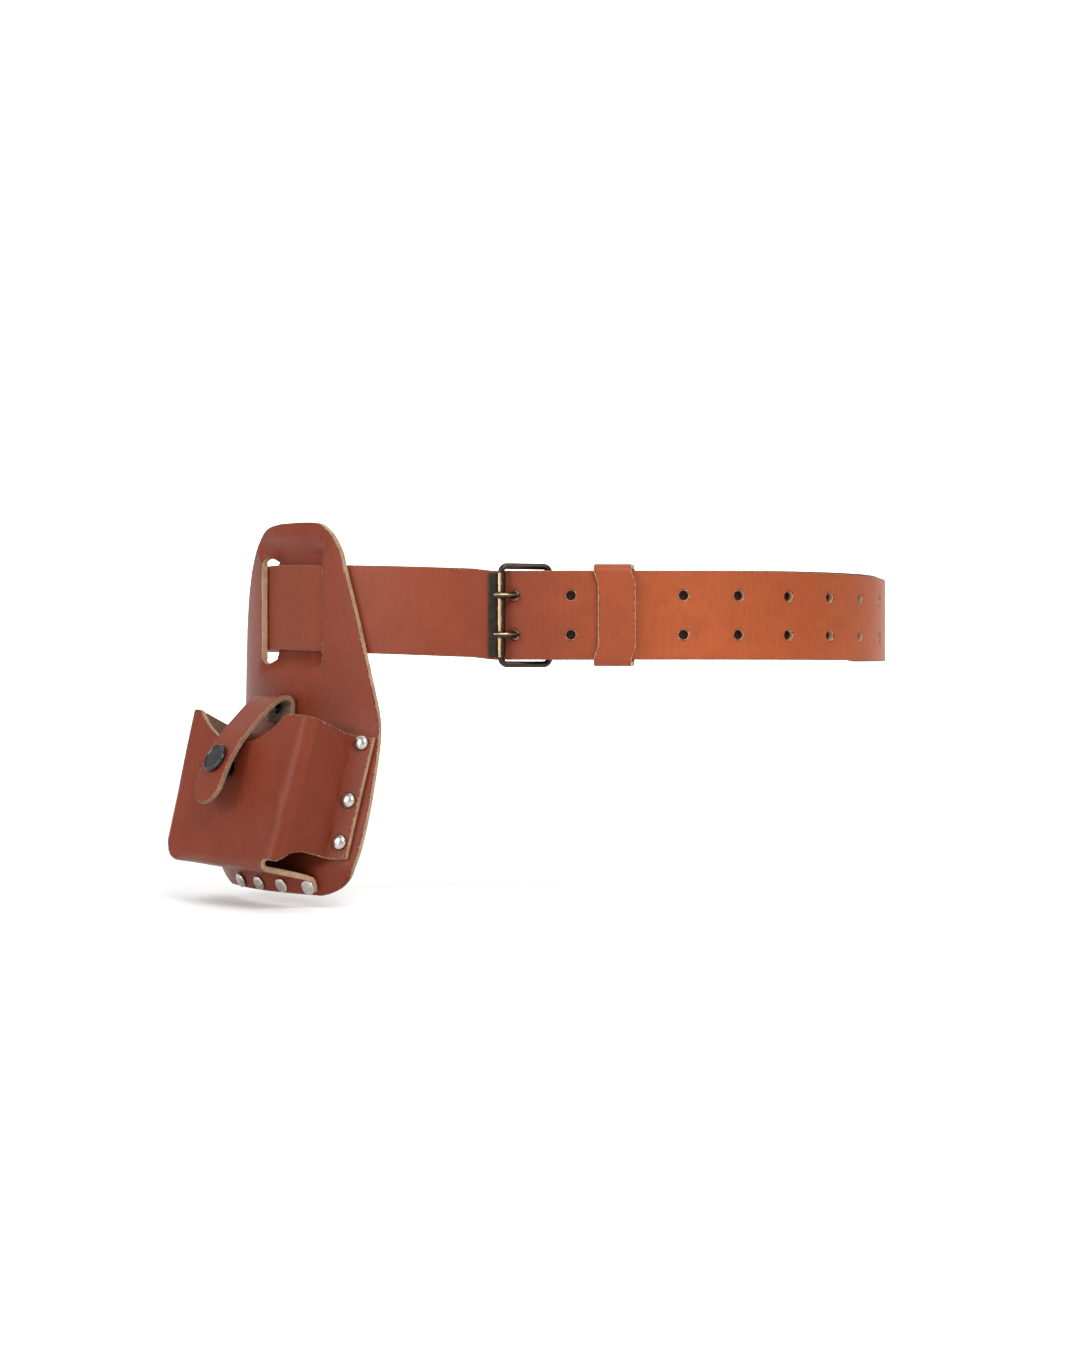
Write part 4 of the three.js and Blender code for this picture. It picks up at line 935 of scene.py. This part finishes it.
def back_plate():
    thick = settings().pouch_settings.plate / MM
    mid_v = -(PLATE_TOP - SLOT_MID)
    slots = [rounded(side * SLOT_S - SLOT_WIDTH / 2, mid_v - SLOT_LENGTH / 2, side * SLOT_S + SLOT_WIDTH / 2,
                     mid_v + SLOT_LENGTH / 2, 2.1, 6) for side in (-1, 1)]
    slots = [finely(slot, 3) for slot in slots]

    def mid(u, v):
        return plate_at(u, -v)[0] + plate_at(u, -v)[1] * weave(u, -v)

    def shift(u, v, off, edge):
        return noise.noise(Vector((u * 0.03, v * 0.02, 7.7))) * 0.35

    lines = [(1, -(PLATE_TOP - BELT_AT_PLATE + side * (26.2 + 2 * k))) for side in (-1, 1) for k in range(8)]
    lines += [(1, -196 - k * 0.9) for k in range(9)]
    bm = sheet(plate_outline(), slots, (3.6, 3.6), thick, mid, 0.6, lines=lines, shift=shift)
    finished(bm, "back_plate_leather", "pouch", ["back_plate"],
             ["pouch grain", "pouch edge", "flesh"])


# ---- pouch ----
POUCH_BASE = plate_at(0, 195)[0] + POUCH_UP * (195 - BASELINE)


def arc_depth(x):
    return math.sqrt(PLATE_R ** 2 - x ** 2) - PLATE_R


def pouch_narrow(x, front, h):
    low = 1 - clamp(h / WALL_TOP)
    edge = clamp((x - MIDDLE) / HALF, 0, 1.2)
    return edge * low * lerp(FLANGE_TAPER, TAPER, front)


def pouch_at(x, d, h):
    front = clamp(d / DEPTH)
    narrow = pouch_narrow(x, front, h)
    along = (1 - front) * (arc_depth(x - narrow) - arc_depth(x))
    return POUCH_BASE + PLATE_SIDE * (x - narrow) + POUCH_OUT * ((d + along) * math.cos(LEAN)) + POUCH_UP * h


def on_arc(s, off):
    reach = PLATE_R + off
    return Vector((reach * math.sin(s / PLATE_R), reach * math.cos(s / PLATE_R) - PLATE_R))


def wall_depth(x):
    return DEPTH - SKEW * (x - MIDDLE)


def pouch_line(wall):
    """The walls' line across: [(distance, x, depth)], with distance 0 in the middle of the front."""
    flange_off = (4 + wall) / 2 + CLEAR
    points = []

    def bend(a, b, c, steps=10):
        for i in range(steps + 1):
            t = i / steps
            points.append(a * (1 - t) ** 2 + b * (2 * t * (1 - t)) + c * t ** 2)

    def corner_points(side):
        at = Vector((MIDDLE + side * HALF, wall_depth(MIDDLE + side * HALF)))
        crease = on_arc(side * CREASE_S, flange_off)
        low = crease + Vector((0, 3.5))
        down = (low - at).normalized()
        inside = Vector((at.x - side * CORNER, wall_depth(at.x - side * CORNER)))
        return on_arc(side * FLANGE_S, flange_off), on_arc(side * (CREASE_S + 3), flange_off), crease, low, \
            at + down * CORNER, at, inside

    end, start, crease, low, foot, at, inside = corner_points(-1)
    points.append(end)
    bend(start, crease, low)
    bend(foot, at, inside)
    end, start, crease, low, foot, at, inside = corner_points(1)
    bend(inside, at, foot)
    bend(low, crease, start)
    points.append(end)
    line = [(0.0, *points[0])]
    for a, b in zip(points, points[1:]):
        parts = max(1, math.ceil((b - a).length / 1.5))
        for i in range(1, parts + 1):
            p = a.lerp(b, i / parts)
            line.append((line[-1][0] + math.hypot(p.x - line[-1][1], p.y - line[-1][2]), p.x, p.y))
    zero = through([(x, t) for t, x, d in line[40:-40]], MIDDLE)
    return [(t - zero, x, d) for t, x, d in line]


def pouch():
    wall = settings().pouch_settings.wall / MM
    flange_off = (4 + wall) / 2 + CLEAR
    line = pouch_line(wall)
    xs = [(t, x) for t, x, d in line]
    ds = [(t, d) for t, x, d in line]
    low_t, high_t = line[0][0], line[-1][0]
    fold_arc = 4 * math.pi / 2
    under = 26.0
    turn_down = 8.0
    tab_start = 204.5

    def edge_line(table, t):
        if t < table[0][0]:
            (t0, y0), (t1, y1) = table[0], table[1]
        elif t > table[-1][0]:
            (t0, y0), (t1, y1) = table[-2], table[-1]
        else:
            return through(table, t)
        return y0 + (y1 - y0) * (t - t0) / (t1 - t0)

    def mid(t, v):
        x, d = edge_line(xs, t), edge_line(ds, t)
        if v >= FOLD_START:
            return pouch_at(x, d, v)
        q = FOLD_START - v
        front = wall_depth(x)
        if q < fold_arc:
            a = q / 4
            return pouch_at(x, front - 4 + 4 * math.cos(a), FOLD_START - 4 * math.sin(a))
        back = on_arc(x, flange_off).y
        h = FOLD_START - 4
        if q < fold_arc + under:
            return pouch_at(x, lerp(front - 4, back + 5, (q - fold_arc) / under), h)
        s = x - pouch_narrow(x, 0, 0)
        if q < fold_arc + under + turn_down:
            k = (q - fold_arc - under) / turn_down
            return (pouch_at(x, back + 5, h) * (1 - k) ** 2 + pouch_at(x, back, h) * (2 * k * (1 - k))
                    + plate_at(s, tab_start, flange_off)[0] * k ** 2)
        return plate_at(s, tab_start + q - fold_arc - under - turn_down, flange_off)[0]

    def low_edge(t):
        return max(FOLD_START + 0.2, through(SIDE_LOW, edge_line(ds, t)))

    def high_edge(t):
        return lerp(SIDE_TOP, WALL_TOP, clamp(edge_line(ds, t) / 25))

    notch_r = (NOTCH_HALF ** 2 + NOTCH_DEEP ** 2) / (2 * NOTCH_DEEP)

    def top(t):
        high = high_edge(t)
        x = edge_line(xs, t)
        if abs(t) < 50 and abs(x - NOTCH_MIDDLE) < notch_r:
            round_top = WALL_TOP - NOTCH_DEEP + notch_r - math.sqrt(notch_r ** 2 - (x - NOTCH_MIDDLE) ** 2)
            return min(high, round_top)
        return high

    wing = 43.5
    tab_v = FOLD_START - fold_arc - under - turn_down - 8.6
    back_v = FOLD_START - fold_arc - under
    tab_left, tab_right = TAB_MIDDLE - TAB_HALF - MIDDLE, TAB_MIDDLE + TAB_HALF - MIDDLE
    lower_left = [low_t + (-57 - low_t) * i / 20 for i in range(21)]
    lower_right = [wing + 3 + (high_t - wing - 3) * i / 24 for i in range(25)]
    outline = [(t, low_edge(t)) for t in lower_left]
    outline += [(-54.5, 13), (-52, 11.4), (-49.8, 9), (-48, 6.2), (-46.5, 3.4), (-45, 1), (-wing, -0.7)]
    outline += [(tab_left - 3, back_v + 6), (tab_left, back_v)]
    outline += [(tab_left + 0.2, tab_v + 4), (tab_left + 1.3, tab_v + 1.3), (tab_left + 4, tab_v)]
    outline += [(tab_right - 4, tab_v), (tab_right - 1.3, tab_v + 1.3), (tab_right - 0.2, tab_v + 4)]
    outline += [(tab_right, back_v), (wing - 0.2, FOLD_START - fold_arc), (wing, FOLD_START - 2.5),
                (wing + 1, FOLD_START - 0.6)]
    outline += [(t, low_edge(t)) for t in lower_right]
    tops = [high_t + (low_t - high_t) * i / 110 for i in range(111)]
    outline += [(t, top(t)) for t in tops]

    crease_t = [t for t, x, d in line if abs(abs(x) - CREASE_S) < 1.5]
    corners = [t for t, x, d in line if abs(abs(x - MIDDLE) - HALF) < 3 and d > 15]
    near_corner = sum(t for t in corners if t > 0) / max(1, sum(1 for t in corners if t > 0))

    def shift(t, v, off, edge):
        waves = noise.noise(Vector((t * 0.03, v * 0.03, 1.3))) * 0.5
        close = min((abs(t - c) for c in crease_t), default=99)
        wrinkle = 0.35 * math.exp(-((close / 3.2) ** 2)) * noise.noise(Vector((t * 0.3, v * 0.12, 5.0)))
        ridge = 0.45 * math.exp(-(((abs(t) - near_corner) / 1.5) ** 2))
        ridge += 1.1 * math.exp(-(((abs(t) - near_corner + 8) / 6.5) ** 2))
        sag = -0.9 * math.exp(-((t / 30) ** 2)) * math.sin(math.pi * clamp(v / WALL_TOP)) if v > 0 else 0
        return waves + wrinkle + ridge + sag

    lines = [(1, FOLD_START - 0.7 * k) for k in range(10)]
    lines += [(1, back_v - 0.9 * k) for k in range(1, 9)]
    lines += [(0, c + 1.2 * k) for c in (near_corner, -near_corner) for k in range(-5, 6)]
    lines += [(0, side * (crease_t[-1] + k)) for side in (-1, 1) for k in (-5, -4, -3, -2, -1, 0, 1, 2)]
    bm = sheet(outline, [], (3.2, 3.2), wall, mid, 0.5, lines=lines, shift=shift)
    finished(bm, "pouch_shell_leather", "pouch", ["pouch_shell"],
             ["pouch grain", "pouch edge", "flesh"])


# ---- closing strap and snap ----
def strap_curve():
    root_w = STRAP_RIVET_W + 8.5
    leave = []
    for w in (root_w, root_w - 7, STRAP_RIVET_W - 3.4):
        point, _ = plate_at(0, w, 2 + 1.6 + CLEAR + 0.3)
        leave.append(((point - LEFT_CENTRE).dot(PLATE_OUT) - BEND_R, point.z))
    bends = [(9.9, -47.9), (12.5, -46.7), (16, -47), (21, -49.4), (31, -58), (43, -70), (51.5, -82),
             (57.5, -94.5), (62.5, -106)]
    points = spline([Vector((x, y, 0)) for x, y in leave + bends], 14)
    line = [(0.0, points[0])]
    for a, b in zip(points, points[1:]):
        line.append((line[-1][0] + (b - a).length, b))
    return line


STRAP_LINE = strap_curve()
STRAP_LENGTH = STRAP_LINE[-1][0]
STRAP_OUT = [(t, p.x) for t, p in STRAP_LINE]
STRAP_Z = [(t, p.y) for t, p in STRAP_LINE]


def strap_point(u, t):
    out, z = through(STRAP_OUT, t), through(STRAP_Z, t)
    if t > STRAP_LENGTH or t < 0:
        end = STRAP_LENGTH if t > 0 else 0
        near = end - 0.5 if t > 0 else 0.5
        k = (t - end) / (end - near)
        out += k * (through(STRAP_OUT, end) - through(STRAP_OUT, near))
        z += k * (through(STRAP_Z, end) - through(STRAP_Z, near))
    point = LEFT_CENTRE + PLATE_SIDE * (STRAP_MIDDLE + u) + PLATE_OUT * (BEND_R + out)
    point.z = z
    return point


def strap_frame(t):
    """Middle of the strap at a distance along it, and its outward direction."""
    along = strap_point(0, t + 0.3) - strap_point(0, t - 0.3)
    return strap_point(0, t), PLATE_SIDE.cross(along * -1).normalized()


def strap_level(z):
    low, high = STRAP_SPLIT * STRAP_LENGTH, STRAP_LENGTH
    while high - low > 0.01:
        middle = (low + high) / 2
        low, high = (middle, high) if strap_point(0, middle).z > z else (low, middle)
    return low


def closing_strap():
    half = settings().pouch_settings.strap / MM / 2
    end = [(half * math.cos(math.radians(a)), -STRAP_LENGTH + half * (1 + math.sin(math.radians(a))))
           for a in range(180, 361, 9)]
    outline = [(-half, 0)] + end + [(half, 0)]

    def mid(u, v):
        return strap_point(u, -v)

    def shift(u, v, off, edge):
        return noise.noise(Vector((u * 0.06, v * 0.06, 9.1))) * 0.2

    bm = sheet(outline, [], (2.6, 1.6), 3.2, mid, 0.55, shift=shift)
    piece = finished(bm, "closing_strap_leather", None, ["strap_root", "strap_flap"],
                     ["pouch grain", "strap edge", "flesh"])
    hinge = STRAP_SPLIT * STRAP_LENGTH
    strap_point(0, hinge - 6) * MM
    strap_point(0, hinge + 9) * MM
    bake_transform(piece)


def wall_normal():
    a = pouch_at(0, wall_depth(0), 60)
    normal = (pouch_at(20, wall_depth(20), 60) - a).cross(pouch_at(0, wall_depth(0), 80) - a).normalized()
    return normal if normal.y < 0 else -normal


def snap():
    metal = settings().metal_settings
    sides = metal.sides
    t = strap_level(SNAP_Z)
    point, out = strap_frame(t)
    reach = 1.6 + CLEAR
    cap = metal.cap / MM
    dish = [(0, 1.95), (0.35, 1.93), (0.6, 1.87), (0.74, 1.8), (0.79, 1.86), (0.84, 2.18), (0.88, 2.34),
            (0.93, 2.3), (0.975, 2.0), (1, 1.45), (1, 0.8), (0.985, 0.4), (0.93, 0.02)]
    dome = [(cap * share, height) for share, height in dish]
    dome += [(1.8, 0), (1.8, -2 * reach - 0.8), (0, -2 * reach - 0.8)]
    bm = turned(dome, point + out * reach, out, sides)
    finished(bm, "snap_cap_metal", "flap", ["snap_cap"], ["black enamel"])
    socket = [(1.95, 0), (5.1, 0), (5.4, 0.25), (5.5, 0.7), (5.5, 2), (5.3, 2.35), (4.9, 2.4), (3.9, 2.4),
              (3.7, 2.2), (3.7, 0.8), (1.95, 0.8), (1.95, 0)]
    bm = turned(socket, point - out * reach, -out, sides)
    # painted shade: the socket takes the dark buckle finish so that, in the gap under the strap, it shows as
    # shadow rather than bright metal
    finished(bm, "snap_socket_metal", "flap", ["snap_socket"], ["bronze"])
    normal = wall_normal()
    wall = pouch_at(STRAP_MIDDLE, wall_depth(STRAP_MIDDLE), 60)
    seat = point + out * ((wall - point).dot(normal) / out.dot(normal))
    stud = [(1.35, 0), (4.8, 0), (5, 0.3), (4.9, 0.75), (2.2, 0.85), (1.9, 1.3), (2.1, 1.8), (1.9, 2.2),
            (1.35, 2.2), (1.35, 0)]
    bm = turned(stud, seat + normal * reach, normal, sides)
    # painted shade: the stud takes the dark buckle finish so that, beside the strap's edge, it shows as
    # shadow rather than bright metal
    finished(bm, "snap_stud_metal", "pouch", ["snap_stud"], ["bronze"])
    pin_end = 0.8 + 2 * reach + 1.6
    post = [(0, 0), (4.7, 0), (5, 0.3), (4.9, 0.8), (1.2, 0.8), (1.2, pin_end), (0, pin_end)]
    bm = turned(post, seat - normal * (reach + 0.8), normal, sides)
    finished(bm, "snap_post_metal", "pouch", ["snap_post"], ["nickel"])


# ---- rivets ----
def rivet(name, body, point, outward, stack, head, dome, finish, flat=0.0):
    """A rivet head on a point, its shank through the stack of leather, and its burr behind."""
    sides = settings().metal_settings.sides
    crown = [(0, dome)]
    for k in range(1, 10):
        a = math.radians(90 * k / 10)
        crown.append((head * math.sin(a) ** (1 - flat * 0.4),
                      0.45 + (dome - 0.45) * math.cos(a) ** (1 - flat * 0.5)))
    crown += [(head, 0.42), (head * 0.985, 0.12), (head * 0.94, 0)]
    crown += [(1.5, 0), (1.5, -stack - 1.5), (0, -stack - 1.5)]
    bm = turned(crown, point + outward * CLEAR, outward, sides)
    burr = [(1.65, 0), (3.5, 0), (3.6, 0.15), (3.55, 0.5), (3.2, 0.88), (2.2, 0.9), (1.65, 0.75), (1.65, 0)]
    turned(burr, point - outward * (stack + CLEAR), -outward, sides, bm)
    finished(bm, f"{name}_metal", body, [name, f"{name}_burr"], [finish], False)


def rivets():
    metal = settings().metal_settings
    head, dome = metal.head / MM, metal.dome / MM
    wall = settings().pouch_settings.wall / MM
    plate = settings().pouch_settings.plate / MM
    off = (plate + wall) / 2 + CLEAR + wall / 2
    for side, label in ((1, "near"), (-1, "far")):
        for i, (s, w) in enumerate(SIDE_RIVETS):
            point, out = plate_at(s if side > 0 else -SIDE_RIVETS[0][0], w, off)
            rivet(f"side_rivet_{label}_{i + 1}", "pouch", point, out, plate + wall + CLEAR, head, dome * 1.35,
                  "nickel")
    for i in range(4):
        point, out = plate_at(TAB_MIDDLE + (i - 1.5) * TAB_RIVET_PITCH, TAB_RIVET_W, off)
        rivet(f"tab_rivet_{i + 1}", "pouch", point, out, plate + wall + CLEAR, head, dome * 0.8,
              "nickel", flat=0.7)
    for i, z in enumerate((HOLE_PAIR / 2, -HOLE_PAIR / 2)):
        point = Vector((FOLD_X + FOLD_FLAT / 2, INNER_Y + LAYER_PITCH + BELT_THICK / 2, z))
        stack = LAYER_PITCH + BELT_THICK - 1.4
        rivet(f"fold_rivet_{i + 1}", "belt", point, Vector((0, 1, 0)), stack, head, 1.4,
              "nickel")
    point, out = plate_at(STRAP_MIDDLE, STRAP_RIVET_W, plate / 2 + 3.2 + CLEAR + 0.6)
    rivet("strap_rivet", "pouch", point, out, plate + 3.2 + CLEAR + 0.6, 3.2, 1.8, "bronze")


# ---- stage ----
def stage():
    chosen = settings().stage_settings
    bm = bmesh.new()
    bmesh.ops.create_grid(bm, x_segments=8, y_segments=160, size=4)
    bmesh.ops.translate(bm, vec=(0, 0, -0.1655), verts=bm.verts[:])
    back = [v for v in bm.verts if v.co.y > 1.4]
    for vert in back:
        vert.co.z += (vert.co.y - 1.4) ** 2 * 0.9
    for face in bm.faces:
        face.smooth = True
    mesh = bpy.data.meshes.new("floor")
    bm.to_mesh(mesh)
    bm.free()
    floor = bpy.data.objects.new("floor", mesh)
    bpy.context.scene.collection.objects.link(floor)
    material, n, shader = started("pale floor")
    shader.inputs["Roughness"].default_value = 0.9
    at = n.add("ShaderNodeTexCoord").outputs["Object"]
    n.put(shader.inputs["Base Color"], n.mix(n.noise(at, 3, 2), (0.9, 0.9, 0.9, 1), (0.93, 0.93, 0.93, 1)))
    mesh.materials.append(material)
    world = bpy.data.worlds.new("studio")
    bpy.context.scene.world = world
    world.use_nodes = True
    world.node_tree.nodes["Background"].inputs[0].default_value = (1, 1, 1, 1)
    world.node_tree.nodes["Background"].inputs[1].default_value = 0.62
    middle = (0, 0, -0.03)
    lights = [("key", (0.5, -1.4, 1.1), middle, chosen.key, 0.9),
              ("fill", (-1.3, -1.0, 0.45), middle, chosen.key * 0.5, 0.8),
              ("top", (0, 0.3, 1.6), middle, chosen.key * 0.4, 1.4),
              ("back", (0, 1.1, 1.5), (0, 3.2, 0.9), chosen.key * 2.2, 1.6)]
    for name, place, target, power, size in lights:
        data = bpy.data.lights.new(name, "AREA")
        data.energy = power
        data.size = size
        lamp = bpy.data.objects.new(name, data)
        bpy.context.scene.collection.objects.link(lamp)
        lamp.location = place
        lamp.rotation_euler = (Vector(target) - Vector(place)).to_track_quat("-Z", "Y").to_euler()
    eye = bpy.data.cameras.new("camera")
    eye.sensor_fit = "VERTICAL"
    eye.sensor_height = 36
    eye.lens = chosen.lens
    camera = bpy.data.objects.new("camera", eye)
    bpy.context.scene.collection.objects.link(camera)
    camera.location = Vector((-17.3, -1293.1, -33.5)) * MM
    camera.rotation_euler = (math.radians(90), 0, 0)
    bpy.context.scene.camera = camera
    bpy.context.scene.view_settings.view_transform = "Standard"


# ---- operators and panel ----
def operator(idname, label, doc, build):
    """One operator that runs a build function."""
    def execute(self, context):
        build()
        return {"FINISHED"}
    return type(f"TOOLBELT_OT_{idname}", (bpy.types.Operator,), {
        "bl_idname": f"toolbelt.{idname}", "bl_label": label, "__doc__": doc, "execute": execute})


OPERATORS = [
    operator("belt", "Belt strap", "Builds the belt strap with its punched holes", belt_strap),
    operator("keeper", "Keeper", "Builds the keeper band round the belt", keeper),
    operator("buckle", "Buckle frame", "Builds the buckle's frame", buckle),
    operator("roller", "Roller", "Builds the roller on the buckle's front bar", roller),
    operator("prongs", "Prongs", "Builds the buckle's two prongs", prongs),
    operator("back_plate", "Back plate", "Builds the slotted back plate", back_plate),
    operator("pouch", "Pouch", "Builds the pouch's walls, bottom and tab", pouch),
    # Builds the closing strap in its closed shape
    operator("strap", "Closing strap", "Builds the closing strap, which bends as the flap opens",
             closing_strap),
    operator("snap", "Snap", "Builds the snap's cap, socket, stud and post", snap),
    operator("rivets", "Rivets", "Builds every rivet and its burr", rivets),
    operator("stage", "Stage", "Sets the floor, the lights and the camera", stage),
]


class TOOLBELT_PT_panel(bpy.types.Panel):
    """Lists the pieces and their settings"""
    bl_label = "Tool belt"
    bl_idname = "TOOLBELT_PT_panel"
    bl_space_type = "VIEW_3D"
    bl_region_type = "UI"
    bl_category = "Tool Belt"

    def draw(self, context):
        for group in ("belt_settings", "pouch_settings", "metal_settings", "stage_settings"):
            values = getattr(context.scene, group)
            for key in values.bl_rna.properties.keys():
                if key not in ("name", "rna_type"):
                    self.layout.prop(values, key)
        for made in OPERATORS:
            self.layout.operator(made.bl_idname)


CLASSES = [BeltSettings, PouchSettings, MetalSettings, StageSettings, TOOLBELT_PT_panel] + OPERATORS


def register():
    for made in CLASSES:
        bpy.utils.register_class(made)
    bpy.types.Scene.belt_settings = PointerProperty(type=BeltSettings)
    bpy.types.Scene.pouch_settings = PointerProperty(type=PouchSettings)
    bpy.types.Scene.metal_settings = PointerProperty(type=MetalSettings)
    bpy.types.Scene.stage_settings = PointerProperty(type=StageSettings)


def unregister():
    for name in ("belt_settings", "pouch_settings", "metal_settings", "stage_settings"):
        delattr(bpy.types.Scene, name)
    for made in reversed(CLASSES):
        bpy.utils.unregister_class(made)


def main():
    register()
    for made in OPERATORS:
        getattr(bpy.ops.toolbelt, made.bl_idname.split(".")[1])()


if __name__ == "__main__":
    main()
